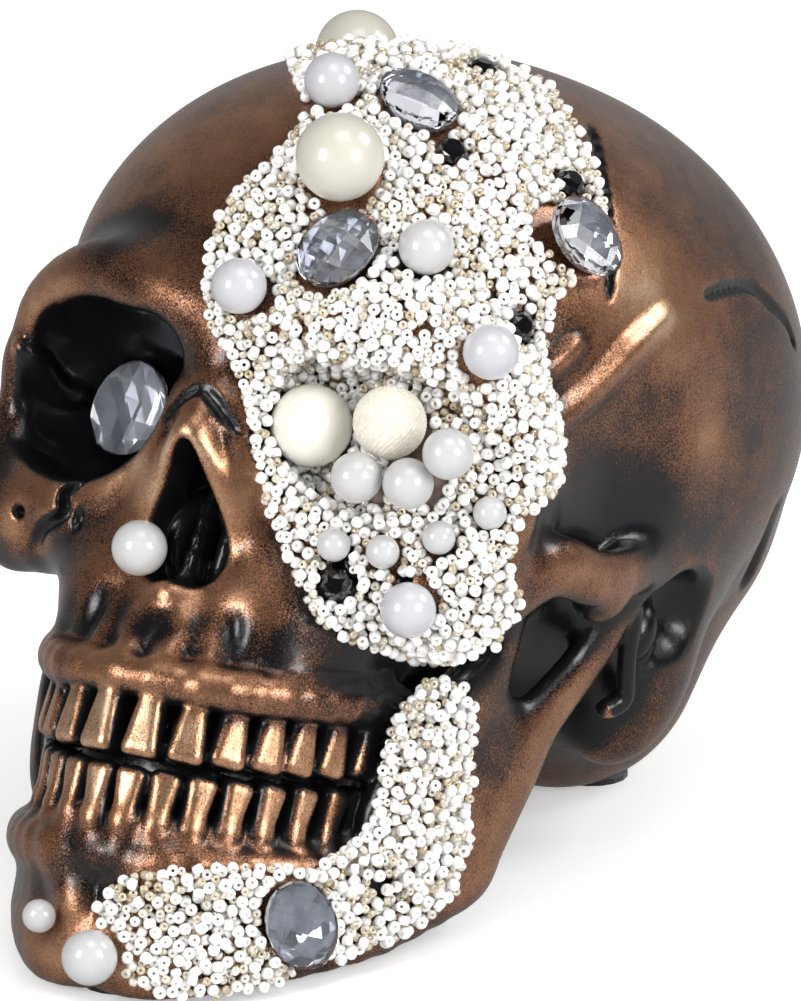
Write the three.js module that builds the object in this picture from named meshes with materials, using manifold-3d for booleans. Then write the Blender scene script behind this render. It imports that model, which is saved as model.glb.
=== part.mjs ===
// Halloween skull decoration: a cast skull with its jaw cast in, set with imitation pearls,
// cut stones and crusts of seed beads. Millimetres, +Z up. The face looks along -Y, and +X is
// the skull's own left, which is the beaded side. It rests on felt pads that stand on z = 0.

import * as THREE from 'three';
import { mergeVertices } from 'three/addons/utils/BufferGeometryUtils.js';
import Module from 'manifold-3d';

const wasm = await Module();
wasm.setup();

// Driving sizes of the casting
const headUnit = 85.4; // what one share of the casting's form tables measures
const facePitch = THREE.MathUtils.degToRad(28.46); // the face tips up this far when it rests
const castingCell = 1.35; // sampling step of the casting, before its facets are merged
const castingFacets = 6400;

// Driving sizes of what is glued on
const glueGap = 0.3;
const crustThickness = 2.2; // one layer of size 11 seed beads in glue
const crustCell = 0.95;
const faceCrustFacets = 2700;
const jawCrustFacets = 1250;
const crustLift = 0.65; // glue under the beads
const crustRelief = 1; // the beads stand this much over one another
const crustReliefPitch = 5.2; // from one raised cluster of beads to the next
const crustClearance = 0.75; // round each pearl and stone
const bedCell = 1.5;
const bedFacets = 300;
const largePearl = 15.6;
const crownPearl = 15;
const eyePearl = 14.5;
const sugarBall = 13;
const mediumPearl = 9.8;
const eyeSmallPearl = 9;
const smallPearl = 5.8;
const ovalStoneWidth = 13;
const ovalStoneLength = 18;
const stoneThickness = 5;
const blackStoneWidth = 6.2;
const blackStoneThickness = 2.6;
const padDiameter = 13;
const padThickness = 1;
const padSides = 16;
const padSeat = 0.1; // glue film between a pad and the casting
const restLevelShare = -0.545; // where the table lies below the ear line

// The photographed view, as a far camera: what is glued on is placed by where it shows there
const viewAzimuth = THREE.MathUtils.degToRad(29.49);
const viewElevation = THREE.MathUtils.degToRad(18.02);
const viewPixelsPerUnit = 491;
const viewCentrePixels = [398.08, 564.73];

// The casting's forms, in shares of headUnit from the middle of the ear line: x to each side,
// y to the back and z up from the eye-ear plane. A form with radii is an ellipsoid, and one with
// points is a rod that thickens along them. Each is mirrored and melts into the rest by its blend.
const castingShares = [
  // braincase
  { at: [0, 0.09, 0.43], radii: [0.685, 0.765, 0.63], blend: 0.05 },
  { at: [0, -0.32, 0.41], radii: [0.64, 0.62, 0.56], blend: 0.18 },
  { at: [0, 0.52, 0.25], radii: [0.5, 0.37, 0.37], blend: 0.1 },
  { at: [0.14, 0.5, -0.02], radii: [0.28, 0.33, 0.31], blend: 0.1 },
  { at: [0.24, 0.28, -0.06], radii: [0.26, 0.26, 0.22], blend: 0.08 },
  { at: [0, 0.12, -0.02], radii: [0.48, 0.5, 0.18], blend: 0.1 },
  { at: [0.4, 0.02, 0.12], radii: [0.22, 0.4, 0.24], blend: 0.1 },
  // hollow of the temple
  { cut: true, at: [0.8, -0.4, 0.14], radii: [0.2, 0.26, 0.3], blend: 0.1 },
  // block behind the face
  { at: [0, -0.36, -0.03], radii: [0.42, 0.4, 0.34], blend: 0.08 },
  { at: [0.37, -0.46, 0.1], radii: [0.19, 0.25, 0.28], blend: 0.08 },
  { at: [0.52, -0.58, 0.1], radii: [0.07, 0.14, 0.19], blend: 0.04 },
  { at: [0, -0.2, -0.36], radii: [0.38, 0.3, 0.32], blend: 0.08 },
  // brow
  {
    points: [
      [0, -0.875, 0.29], [0.17, -0.895, 0.34], [0.36, -0.865, 0.36], [0.5, -0.765, 0.3],
      [0.56, -0.69, 0.19],
    ],
    radii: [0.085, 0.075, 0.06, 0.055, 0.045],
    blend: 0.08,
  },
  // outer pillar of the eye socket, its lower rim and the cheek
  {
    points: [[0.56, -0.69, 0.19], [0.575, -0.655, 0.06], [0.54, -0.67, -0.06]],
    radii: [0.042, 0.04, 0.07],
    squash: [1, 1.3, 1],
    blend: 0.03,
  },
  {
    points: [
      [0.54, -0.67, -0.06], [0.43, -0.75, -0.075], [0.31, -0.79, -0.08], [0.2, -0.835, -0.04],
      [0.125, -0.87, 0.06], [0.1, -0.87, 0.2],
    ],
    radii: [0.06, 0.055, 0.05, 0.05, 0.045, 0.04],
    blend: 0.03,
  },
  { at: [0.45, -0.65, -0.13], radii: [0.13, 0.14, 0.1], blend: 0.05 },
  { at: [0.31, -0.68, -0.14], radii: [0.12, 0.16, 0.09], blend: 0.05 },
  // cheek arch, the knob under it and the crest over the ear
  {
    points: [
      [0.53, -0.63, -0.145], [0.6, -0.5, -0.02], [0.625, -0.34, -0.005], [0.62, -0.2, 0.04],
      [0.6, -0.05, 0.1], [0.57, 0.15, 0.125], [0.52, 0.33, 0.1],
    ],
    radii: [0.085, 0.06, 0.052, 0.05, 0.045, 0.045, 0.03],
    squash: [0.7, 1, 1],
    blend: 0.04,
  },
  { at: [0.595, -0.255, -0.03], radii: [0.05, 0.06, 0.05], blend: 0.03 },
  // upper jaw
  { at: [0.18, -0.64, -0.22], radii: [0.18, 0.23, 0.24], blend: 0.07 },
  { at: [0.13, -0.74, -0.27], radii: [0.17, 0.17, 0.2], blend: 0.05 },
  { at: [0, -0.6, -0.38], radii: [0.335, 0.33, 0.15], blend: 0.06 },
  { at: [0, -0.8, -0.36], radii: [0.14, 0.15, 0.16], blend: 0.05 },
  // bridge of the nose, its flank and the thin rim of its opening
  {
    points: [[0, -0.875, 0.26], [0, -0.91, 0.17], [0, -0.975, 0.07]],
    radii: [0.08, 0.055, 0.035],
    squash: [1.1, 1, 1],
    blend: 0.05,
  },
  {
    points: [
      [0.045, -0.91, 0.13], [0.075, -0.9, 0.03], [0.095, -0.875, -0.05], [0.13, -0.835, -0.13],
      [0.16, -0.815, -0.215], [0.205, -0.8, -0.31], [0.245, -0.785, -0.38],
    ],
    radii: [0.045, 0.045, 0.045, 0.042, 0.042, 0.042, 0.04],
    blend: 0.04,
  },
  {
    points: [
      [0, -0.985, 0.055], [0.045, -0.945, 0], [0.073, -0.895, -0.07], [0.092, -0.86, -0.15],
      [0.088, -0.85, -0.215], [0.05, -0.87, -0.262], [0, -0.915, -0.265],
    ],
    radii: [0.032, 0.026, 0.024, 0.024, 0.026, 0.028, 0.03],
    blend: 0.02,
  },
  // eye socket, wide in front and closing to the back
  { cut: true, at: [0.33, -0.84, 0.12], radii: [0.215, 0.3, 0.175], turn: -12, blend: 0.03 },
  {
    cut: true,
    points: [[0.185, -0.88, 0.2], [0.43, -0.82, 0.185]],
    radii: [0.085, 0.09],
    squash: [1, 2, 1],
    blend: 0.03,
  },
  { cut: true, at: [0.28, -0.6, 0.12], radii: [0.13, 0.18, 0.12], blend: 0.05 },
  // nose opening, with the wall and the folds in it
  {
    cut: true,
    points: [[0, -0.98, 0.025], [0.01, -0.94, -0.05], [0.027, -0.89, -0.13], [0.032, -0.88, -0.185]],
    radii: [0.014, 0.032, 0.047, 0.052],
    squash: [1, 3, 1],
    blend: 0.012,
  },
  {
    points: [[0, -0.77, 0], [0, -0.82, -0.1], [0, -0.84, -0.24]],
    radii: [0.016, 0.012, 0.016],
    squash: [1, 2.5, 1],
    blend: 0.02,
  },
  {
    points: [[0.045, -0.78, -0.04], [0.055, -0.79, -0.13], [0.045, -0.79, -0.21]],
    radii: [0.016, 0.022, 0.016],
    squash: [1, 2, 1],
    blend: 0.02,
  },
  // seams of the bridge
  {
    cut: true,
    points: [[0, -0.985, 0.15], [0.04, -0.98, 0.12], [0.085, -0.955, 0.075]],
    radii: [0.012, 0.012, 0.01],
    blend: 0.02,
  },
  // gum edges over the upper and under the lower teeth
  {
    points: [
      [0, -0.965, -0.445], [0.18, -0.91, -0.435], [0.305, -0.735, -0.395], [0.335, -0.55, -0.355],
    ],
    radii: [0.036, 0.038, 0.042, 0.05],
    squash: [1, 1, 1.1],
    blend: 0.02,
  },
  {
    points: [[0, -0.92, -0.795], [0.175, -0.86, -0.79], [0.295, -0.71, -0.76], [0.325, -0.54, -0.715]],
    radii: [0.036, 0.038, 0.04, 0.045],
    squash: [1, 1, 1.2],
    blend: 0.03,
  },
  // core of the mouth, behind the teeth
  {
    points: [[0, -0.8, -0.6], [0.1, -0.765, -0.6], [0.18, -0.64, -0.58], [0.2, -0.5, -0.54]],
    radii: [0.075, 0.075, 0.075, 0.075],
    squash: [1, 1, 2.2],
    blend: 0.03,
  },
  { at: [0, -0.48, -0.54], radii: [0.24, 0.32, 0.22], blend: 0.06 },
  // body of the lower jaw
  {
    points: [
      [0, -0.835, -0.97], [0.12, -0.8, -0.975], [0.25, -0.65, -0.9], [0.37, -0.42, -0.77],
      [0.44, -0.25, -0.61],
    ],
    radii: [0.075, 0.075, 0.07, 0.065, 0.065],
    squash: [0.9, 0.9, 1.1],
    blend: 0.05,
  },
  {
    points: [[0, -0.84, -0.86], [0.14, -0.79, -0.86], [0.26, -0.62, -0.8], [0.345, -0.42, -0.67]],
    radii: [0.065, 0.065, 0.065, 0.065],
    squash: [0.9, 0.9, 1.2],
    blend: 0.06,
  },
  {
    points: [[0.12, -0.895, -0.79], [0.085, -0.885, -0.84], [0.05, -0.885, -0.91]],
    radii: [0.03, 0.032, 0.03],
    blend: 0.04,
  },
  // rising branch of the jaw: rear edge with its neck, front edge, and the plate between
  {
    points: [
      [0.45, -0.25, -0.6], [0.475, -0.21, -0.42], [0.485, -0.17, -0.29], [0.51, -0.1, -0.16],
      [0.535, -0.075, -0.06],
    ],
    radii: [0.07, 0.065, 0.06, 0.05, 0.055],
    squash: [0.55, 1, 1],
    blend: 0.03,
  },
  {
    points: [[0.4, -0.42, -0.6], [0.445, -0.37, -0.35], [0.465, -0.34, -0.13]],
    radii: [0.08, 0.065, 0.04],
    squash: [0.5, 1, 1],
    blend: 0.04,
  },
  {
    points: [[0.43, -0.31, -0.57], [0.465, -0.27, -0.38]],
    radii: [0.13, 0.09],
    squash: [0.35, 1, 1],
    blend: 0.04,
  },
  {
    points: [[0.44, -0.44, -0.3], [0.41, -0.49, -0.42], [0.375, -0.5, -0.58]],
    radii: [0.06, 0.075, 0.085],
    squash: [0.55, 1, 1],
    blend: 0.05,
  },
  // mass behind the ear
  { at: [0.435, 0.22, -0.08], radii: [0.135, 0.16, 0.22], blend: 0.07 },
  // ear hollow, with the bulb and the thin crest that stand in it
  { cut: true, at: [0.62, 0.09, 0], radii: [0.1, 0.125, 0.1], blend: 0.03 },
  { cut: true, at: [0.6, 0.05, -0.1], radii: [0.08, 0.08, 0.14], blend: 0.03 },
  { at: [0.515, 0.085, -0.035], radii: [0.05, 0.045, 0.07], blend: 0.015 },
  {
    points: [
      [0.55, -0.036, 0.02], [0.56, -0.016, -0.02], [0.555, 0.01, -0.1], [0.54, 0.064, -0.18],
      [0.52, 0.03, -0.215],
    ],
    radii: [0.016, 0.014, 0.014, 0.016, 0.014],
    blend: 0.012,
  },
  // hollows and cracks of the cheek and of the upper jaw
  { cut: true, at: [0.446, -0.82, -0.136], radii: [0.014, 0.05, 0.014], blend: 0.01 },
  { cut: true, at: [0.278, -0.875, -0.139], radii: [0.014, 0.04, 0.03], blend: 0.01 },
  {
    cut: true,
    points: [
      [0.28, -0.86, -0.05], [0.325, -0.85, -0.09], [0.32, -0.85, -0.135], [0.38, -0.82, -0.165],
      [0.43, -0.77, -0.225],
    ],
    radii: [0.005, 0.008, 0.006, 0.008, 0.006],
    squash: [1, 2.5, 1],
    blend: 0.01,
  },
  { cut: true, at: [0.045, -0.965, -0.34], radii: [0.02, 0.025, 0.035], blend: 0.03 },
  { cut: true, at: [0.155, -0.925, -0.32], radii: [0.02, 0.025, 0.04], blend: 0.03 },
  // groove of the temple, the two lines of its muscle, the seam behind it and the nape's crease
  {
    cut: true,
    points: [
      [0.377, -0.343, 0.901], [0.475, -0.433, 0.79], [0.55, -0.484, 0.664], [0.593, -0.507, 0.539],
    ],
    radii: [0.01, 0.012, 0.014, 0.01],
    blend: 0.02,
  },
  {
    points: [
      [0.54, -0.555, 0.256], [0.578, -0.495, 0.348], [0.61, -0.425, 0.453], [0.62, -0.324, 0.55],
    ],
    radii: [0.03, 0.034, 0.034, 0.026],
    blend: 0.02,
  },
  {
    points: [[0.53, -0.62, 0.34], [0.55, -0.595, 0.382], [0.57, -0.565, 0.424]],
    radii: [0.018, 0.022, 0.016],
    blend: 0.02,
  },
  {
    cut: true,
    points: [
      [0.639, -0.188, 0.624], [0.633, -0.092, 0.66], [0.625, 0.017, 0.687], [0.63, 0.111, 0.677],
      [0.632, 0.198, 0.657], [0.638, 0.249, 0.621],
    ],
    radii: [0.008, 0.01, 0.008, 0.011, 0.008, 0.008],
    blend: 0.012,
  },
  {
    cut: true,
    points: [[0.618, 0.382, 0.301], [0.561, 0.471, 0.236], [0.516, 0.527, 0.168]],
    radii: [0.012, 0.016, 0.012],
    blend: 0.03,
  },
];

// Teeth stand along an arch, a quarter of an ellipse on each side of the middle
const upperArchShares = { width: 0.36, depth: 0.62, front: -0.96, level: -0.525, edgeDrop: 0.083 };
const lowerArchShares = { width: 0.34, depth: 0.6, front: -0.935, level: -0.682, edgeDrop: 0.062 };
const upperToothShares = [0.092, 0.08, 0.082, 0.074, 0.07, 0.088, 0.088]; // pitch from the middle
const lowerToothShares = [0.064, 0.066, 0.072, 0.072, 0.074, 0.082, 0.078, 0.06];
const toothShares = {
  root: 0.023,
  upperEdge: 0.043,
  lowerEdge: 0.036,
  thick: 0.038,
  rootThick: 0.0285,
  round: 0.014,
  blend: 0.006,
};
// Each tooth's root swells the gum beyond it, and leans back
const rootShares = { upper: 0.13, lower: 0.08, swell: 0.032, tip: 0.012, lean: 0.035, blend: 0.03 };
const biteSlopeShare = 0.22; // the bite rises this much to the back

// Where the pearls show in the photographed view, largest of each cluster first
const pearlPlaces = [
  { name: 'pearl_forehead_large', pixels: [341, 163], size: largePearl, colour: 'cream' },
  { name: 'pearl_crown_large', pixels: [357, 48], size: crownPearl, colour: 'cream', behind: true },
  { name: 'pearl_eye_large', pixels: [313, 427], size: eyePearl, colour: 'cream' },
  { name: 'sugar_ball_eye', pixels: [390, 424], size: sugarBall, colour: 'sugar' },
  { name: 'pearl_crown_small', pixels: [333, 86], size: mediumPearl, colour: 'white' },
  { name: 'pearl_brow_inner', pixels: [242, 290], size: mediumPearl, colour: 'white' },
  { name: 'pearl_forehead_small', pixels: [426, 252], size: mediumPearl, colour: 'white' },
  { name: 'pearl_temple', pixels: [489, 355], size: mediumPearl, colour: 'white' },
  { name: 'pearl_cheek_large', pixels: [408, 608], size: mediumPearl, colour: 'white' },
  { name: 'pearl_nose', pixels: [144, 547], size: mediumPearl, colour: 'white' },
  { name: 'pearl_chin_large', pixels: [96, 948], size: mediumPearl, colour: 'white' },
  { name: 'pearl_eye_lower_inner', pixels: [357, 478], size: eyeSmallPearl, colour: 'white' },
  { name: 'pearl_eye_lower_outer', pixels: [408, 484], size: eyeSmallPearl, colour: 'white' },
  { name: 'pearl_eye_outer', pixels: [447, 455], size: eyeSmallPearl, colour: 'white' },
  { name: 'pearl_cheek_1', pixels: [488, 513], size: smallPearl, colour: 'white' },
  { name: 'pearl_cheek_2', pixels: [438, 537], size: smallPearl, colour: 'white' },
  { name: 'pearl_cheek_3', pixels: [383, 551], size: smallPearl, colour: 'white' },
  { name: 'pearl_cheek_4', pixels: [335, 544], size: smallPearl, colour: 'white' },
  { name: 'pearl_chin_small', pixels: [46, 908], size: smallPearl, colour: 'white' },
];

// Where the cut stones show, with their turn in their own plane and how far they lean from the
// surface's own way out: to the view's right, up, and towards the camera
const stonePlaces = [
  { name: 'rhinestone_socket', pixels: [125, 405], turn: 30, lean: [0, 0, 1.2] },
  { name: 'rhinestone_crown', pixels: [417, 113], turn: 60, lean: [0, 0, 0] },
  { name: 'rhinestone_forehead', pixels: [340, 264], turn: 0, lean: [0, 0, 0] },
  { name: 'rhinestone_temple', pixels: [571, 245], turn: 150, lean: [0.2, -0.15, -0.1] },
  { name: 'rhinestone_jaw', pixels: [293, 912], turn: 118, lean: [0, 0, 0] },
];
const blackStonePlaces = [
  { name: 'black_stone_crown', pixels: [480, 78] },
  { name: 'black_stone_forehead', pixels: [450, 160] },
  { name: 'black_stone_side', pixels: [565, 190] },
  { name: 'black_stone_temple', pixels: [515, 330] },
  { name: 'black_stone_cheek', pixels: [338, 582] },
];

// Outlines of the two bead crusts, as they show in the photographed view
const faceCrustPixels = [
  [400, 46], [360, 46], [315, 50], [290, 62], [298, 84], [306, 104], [288, 148], [235, 200], [210, 260], [212, 330], [240, 375],
  [255, 430], [266, 500], [285, 545], [305, 590], [330, 628], [385, 650], [450, 655], [492, 642],
  [515, 600], [508, 560], [520, 520], [550, 490], [560, 450], [550, 400], [545, 350], [555, 300],
  [598, 270], [606, 230], [595, 180], [572, 130], [545, 92], [490, 60],
];
const jawCrustPixels = [
  [440, 676], [460, 682], [471, 712], [468, 780], [464, 850], [446, 898], [400, 932], [340, 952],
  [255, 980], [200, 986], [140, 974], [104, 915], [118, 876], [190, 862], [260, 858], [320, 858],
  [362, 830], [380, 790], [386, 745], [412, 692],
];

// Bed of glue that fills the beaded socket behind its pearls, in shares of headUnit
const socketBedShares = { at: [0.33, -0.68, 0.12], radii: [0.23, 0.13, 0.19], turn: -12 };

// Shares of headUnit that bound the sampling of the forms
const castingBoxShares = { low: [-0.74, -1.12, -1.12], high: [0.74, 0.96, 1.12] };
const tableSpanShare = 4;
const farShare = 1; // distance where no form reaches
const formReachShare = 0.12; // a form acts at least this far past its own box
const blendReachShare = 0.03; // and this far past its blend
const rodBlendShare = 0.02; // where the lengths of a rod meet
const cameraDepthShare = 2; // search of the surface along a pixel's line starts this near the camera
const lastDepthShare = -1;
const longestStrideShare = 0.1;
const touchShare = 1e-4;
const frontTouchShare = 2e-3;
const crustReachShare = 0.2; // a crust lies this near to the surface that shows at its outline
const crustEdgeBlendShare = 0.012;

// Profile of a cut stone from its back to its table, as shares of its width and of its thickness
const stoneRingShares = [[0.86, 0], [1, 0.22], [0.93, 0.5], [0.7, 0.8], [0.36, 1]];
const stoneSeatShares = [[0.9, 0], [1, 0.22], [0.95, 0.5], [0.5, 0], [0, 0]];

const padPlaceShares = [
  { name: 'felt_pad_chin', at: [0, -1.13] },
  { name: 'felt_pad_left', at: [0.19, 0.47] },
  { name: 'felt_pad_right', at: [-0.19, 0.47] },
];

// Head frame to the resting frame, and the three axes of the photographed view in the head frame
const headToRest = new THREE.Matrix4().makeRotationX(-facePitch);
const restToHead = headToRest.clone().invert();
const viewRight = new THREE.Vector3(Math.cos(viewAzimuth), Math.sin(viewAzimuth), 0)
  .transformDirection(restToHead);
const viewBack = new THREE.Vector3(
  Math.sin(viewAzimuth) * Math.cos(viewElevation),
  -Math.cos(viewAzimuth) * Math.cos(viewElevation),
  Math.sin(viewElevation),
).transformDirection(restToHead);
const viewUp = new THREE.Vector3().crossVectors(viewBack, viewRight);

// Blended union of two distances: the smaller one, rounded where they are within the blend
function melt(a, b, blend) {
  const mix = Math.min(Math.max(0.5 + (0.5 * (b - a)) / blend, 0), 1);
  return b + (a - b) * mix - blend * mix * (1 - mix);
}

// An ellipsoid, turned about its upright axis
function ballForm({ at, radii, turn = 0 }) {
  const angle = THREE.MathUtils.degToRad(turn);
  const cos = Math.cos(angle);
  const sin = Math.sin(angle);
  const reach = turn ? radii.map(() => Math.max(...radii)) : radii;
  return {
    low: at.map((v, i) => v - reach[i]),
    high: at.map((v, i) => v + reach[i]),
    distance(x, y, z) {
      const dx = x - at[0];
      const dy = y - at[1];
      const px = (dx * cos + dy * sin) / radii[0];
      const py = (dy * cos - dx * sin) / radii[1];
      const pz = (z - at[2]) / radii[2];
      const near = Math.hypot(px, py, pz);
      const slope = Math.hypot(px / radii[0], py / radii[1], pz / radii[2]);
      return (near * (near - 1)) / Math.max(slope, 1e-6);
    },
  };
}

// A rod along smoothed points, thick as its radii, in space that squash scales
function rodForm({ points, radii, squash = [1, 1, 1] }) {
  const stepsPerSpan = 4;
  const joints = smoothPath(points.map((p, i) => [...p, radii[i]]), stepsPerSpan);
  const scaled = joints.map((j) => [j[0] / squash[0], j[1] / squash[1], j[2] / squash[2], j[3]]);
  const widest = Math.max(...joints.map((j) => j[3]));
  const thinnest = Math.min(...squash);
  return {
    low: squash.map((s, i) => Math.min(...joints.map((j) => j[i])) - widest * s),
    high: squash.map((s, i) => Math.max(...joints.map((j) => j[i])) + widest * s),
    distance(x, y, z) {
      const px = x / squash[0];
      const py = y / squash[1];
      const pz = z / squash[2];
      let best = Infinity;
      for (let i = 0; i + 1 < scaled.length; i += 1) {
        const a = scaled[i];
        const b = scaled[i + 1];
        const bx = b[0] - a[0];
        const by = b[1] - a[1];
        const bz = b[2] - a[2];
        const along = (px - a[0]) * bx + (py - a[1]) * by + (pz - a[2]) * bz;
        const t = Math.min(Math.max(along / (bx * bx + by * by + bz * bz), 0), 1);
        const gap = Math.hypot(px - a[0] - t * bx, py - a[1] - t * by, pz - a[2] - t * bz);
        const d = gap - (a[3] + (b[3] - a[3]) * t);
        best = best === Infinity ? d : melt(d, best, rodBlendShare);
      }
      return best * thinnest;
    },
  };
}

// Catmull-Rom steps between points of any length
function smoothPath(points, steps) {
  if (points.length < 3) return points;
  const path = [];
  for (let i = 0; i + 1 < points.length; i += 1) {
    const before = points[Math.max(i - 1, 0)];
    const from = points[i];
    const to = points[i + 1];
    const after = points[Math.min(i + 2, points.length - 1)];
    for (let s = 0; s < steps; s += 1) {
      const t = s / steps;
      path.push(from.map((v, k) => {
        const straight = to[k] - before[k];
        const bend = 2 * before[k] - 5 * v + 4 * to[k] - after[k];
        const twist = 3 * v - before[k] - 3 * to[k] + after[k];
        return 0.5 * (2 * v + straight * t + bend * t * t + twist * t * t * t);
      }));
    }
  }
  path.push(points[points.length - 1]);
  return path;
}

// A tooth: a rounded block, wide at its biting edge and narrow at its root
function toothForm({ at, angle, flip, edgeHalf, halfHeight }) {
  const { root, thick, rootThick, round } = toothShares;
  const cos = Math.cos(angle);
  const sin = Math.sin(angle);
  const reach = Math.hypot(edgeHalf, thick, halfHeight);
  return {
    low: at.map((v) => v - reach),
    high: at.map((v) => v + reach),
    distance(x, y, z) {
      const dx = x - at[0];
      const dy = y - at[1];
      const across = Math.abs(dx * cos + dy * sin);
      const deep = Math.abs(dy * cos - dx * sin);
      const rise = (z - at[2]) * flip;
      const toEdge = Math.min(Math.max(0.5 - rise / (2 * halfHeight), 0), 1);
      const ax = across - (root + (edgeHalf - root) * toEdge - round);
      const ay = deep - (rootThick + (thick - rootThick) * toEdge - round);
      const az = Math.abs(rise) - (halfHeight - round);
      const outside = Math.hypot(Math.max(ax, 0), Math.max(ay, 0), Math.max(az, 0));
      return outside + Math.min(Math.max(ax, ay, az), 0) - round;
    },
  };
}

// Walk an arch of teeth by their pitches
function toothRow(arch, pitches, edgeHalf, rootLength, flip) {
  const steps = 600;
  const quarter = Math.PI / 2;
  const forms = [];
  let walked = 0;
  let tooth = 0;
  let start = 0;
  for (let i = 1; i <= steps && tooth < pitches.length; i += 1) {
    const t = (quarter * i) / steps;
    const stride = Math.hypot(arch.width * Math.cos(t), arch.depth * Math.sin(t)) * (quarter / steps);
    walked += stride;
    if (walked < start + pitches[tooth] / 2) continue;
    const back = arch.depth * (1 - Math.cos(t));
    const at = [arch.width * Math.sin(t), arch.front + back, arch.level + biteSlopeShare * back];
    const angle = Math.atan2(arch.depth * Math.sin(t), arch.width * Math.cos(t));
    const block = toothForm({ at, angle, flip, edgeHalf, halfHeight: arch.edgeDrop });
    forms.push({ ...block, blend: toothShares.blend });
    forms.push({ ...rootForm(at, flip, arch.edgeDrop, rootLength), blend: rootShares.blend });
    start += pitches[tooth];
    tooth += 1;
  }
  return forms;
}

function rootForm([x, y, z], flip, drop, length) {
  const lean = 1 - rootShares.lean / Math.hypot(x, y);
  return rodForm({
    points: [[x, y, z + flip * drop], [x * lean, y * lean, z + flip * (drop + length)]],
    radii: [rootShares.swell, rootShares.tip],
  });
}

function castingForms() {
  const forms = castingShares.map((share) => ({
    ...(share.points ? rodForm(share) : ballForm(share)),
    blend: share.blend,
    cut: share.cut === true,
  }));
  const teeth = [
    ...toothRow(upperArchShares, upperToothShares, toothShares.upperEdge, rootShares.upper, 1),
    ...toothRow(lowerArchShares, lowerToothShares, toothShares.lowerEdge, rootShares.lower, -1),
  ];
  return [...forms, ...teeth];
}

const forms = castingForms();
const reachOf = (form) => Math.max(form.blend + blendReachShare, formReachShare);

function applyForm(form, before, x, y, z) {
  const d = form.distance(x, y, z);
  return form.cut ? -melt(-before, d, form.blend) : melt(before, d, form.blend);
}

// Distance from the casting's surface at a point of the head frame, in shares
function castingDistance(x, y, z) {
  const side = Math.abs(x);
  let d = farShare;
  for (const form of forms) {
    const pad = reachOf(form);
    if (side < form.low[0] - pad || side > form.high[0] + pad) continue;
    if (y < form.low[1] - pad || y > form.high[1] + pad) continue;
    if (z < form.low[2] - pad || z > form.high[2] + pad) continue;
    d = applyForm(form, d, side, y, z);
  }
  return d;
}

// The casting's distances on a grid, filled form by form
function castingGrid(low, high, cell) {
  const count = low.map((v, i) => Math.ceil((high[i] - v) / cell) + 1);
  const values = new Float32Array(count[0] * count[1] * count[2]).fill(farShare);
  const range = (form, axis, pad) => [
    Math.max(0, Math.ceil((form.low[axis] - pad - low[axis]) / cell)),
    Math.min(count[axis] - 1, Math.floor((form.high[axis] + pad - low[axis]) / cell)),
  ];
  for (const form of forms) {
    const pad = reachOf(form);
    const [j0, j1] = range(form, 1, pad);
    const [k0, k1] = range(form, 2, pad);
    for (let i = 0; i < count[0]; i += 1) {
      const x = Math.abs(low[0] + i * cell);
      if (x < form.low[0] - pad || x > form.high[0] + pad) continue;
      for (let j = j0; j <= j1; j += 1) {
        const y = low[1] + j * cell;
        for (let k = k0; k <= k1; k += 1) {
          const n = (i * count[1] + j) * count[2] + k;
          values[n] = applyForm(form, values[n], x, y, low[2] + k * cell);
        }
      }
    }
  }
  return { low, cell, count, values };
}

// The surface where a grid's value is zero: one corner in each cell that it crosses, and one
// four-sided face, as two triangles, over each grid step that it crosses
function surfaceOf(grid) {
  const { low, cell, count, values } = grid;
  const stepOf = cellSteps(count);
  untangle(values, stepOf, count);
  const cornerOf = new Int32Array(values.length).fill(-1);
  const positions = [];
  const triangles = [];
  forEachCell(count, (base, i, j, k) => {
    let crossings = 0;
    const sum = [0, 0, 0];
    for (const [from, to] of cubeEdges) {
      const v0 = values[base + stepOf[from]];
      const v1 = values[base + stepOf[to]];
      if (v0 < 0 === v1 < 0) continue;
      const t = v0 / (v0 - v1);
      for (let axis = 0; axis < 3; axis += 1) {
        const start = (from >> axis) & 1;
        sum[axis] += start + t * (((to >> axis) & 1) - start);
      }
      crossings += 1;
    }
    if (crossings === 0) return;
    cornerOf[base] = positions.length / 3;
    [i, j, k].forEach((place, axis) => {
      positions.push(low[axis] + (place + sum[axis] / crossings) * cell);
    });
  });
  const strides = [stepOf[1], stepOf[2], stepOf[4]];
  forEachCell(count, (base, ...place) => {
    for (let axis = 0; axis < 3; axis += 1) {
      const second = (axis + 1) % 3;
      const third = (axis + 2) % 3;
      const inside = values[base] < 0;
      if (inside === values[base + strides[axis]] < 0 || !place[second] || !place[third]) continue;
      const a = cornerOf[base];
      const b = cornerOf[base - strides[second]];
      const c = cornerOf[base - strides[second] - strides[third]];
      const d = cornerOf[base - strides[third]];
      const across = (p, q) =>
        [0, 1, 2].reduce((total, n) => total + (positions[p * 3 + n] - positions[q * 3 + n]) ** 2, 0);
      const halves = across(a, c) < across(b, d) ? [[a, b, c], [a, c, d]] : [[a, b, d], [b, c, d]];
      for (const half of halves) triangles.push(...(inside ? half : half.reverse()));
    }
  });
  return { positions, triangles };
}

// A cube's corners are numbered by bits: 1 along x, 2 along y and 4 along z
const cubeCorners = [0, 1, 2, 3, 4, 5, 6, 7];
const cubeEdges = cubeCorners.flatMap((from) =>
  [1, 2, 4].filter((bit) => !(from & bit)).map((bit) => [from, from | bit]));

const cellSteps = (count) =>
  cubeCorners.map((bits) => ((bits & 1) * count[1] + ((bits >> 1) & 1)) * count[2] + (bits >> 2));

function forEachCell(count, visit) {
  for (let i = 0; i + 1 < count[0]; i += 1) {
    for (let j = 0; j + 1 < count[1]; j += 1) {
      const row = (i * count[1] + j) * count[2];
      for (let k = 0; k + 1 < count[2]; k += 1) visit(row + k, i, j, k);
    }
  }
}

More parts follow.
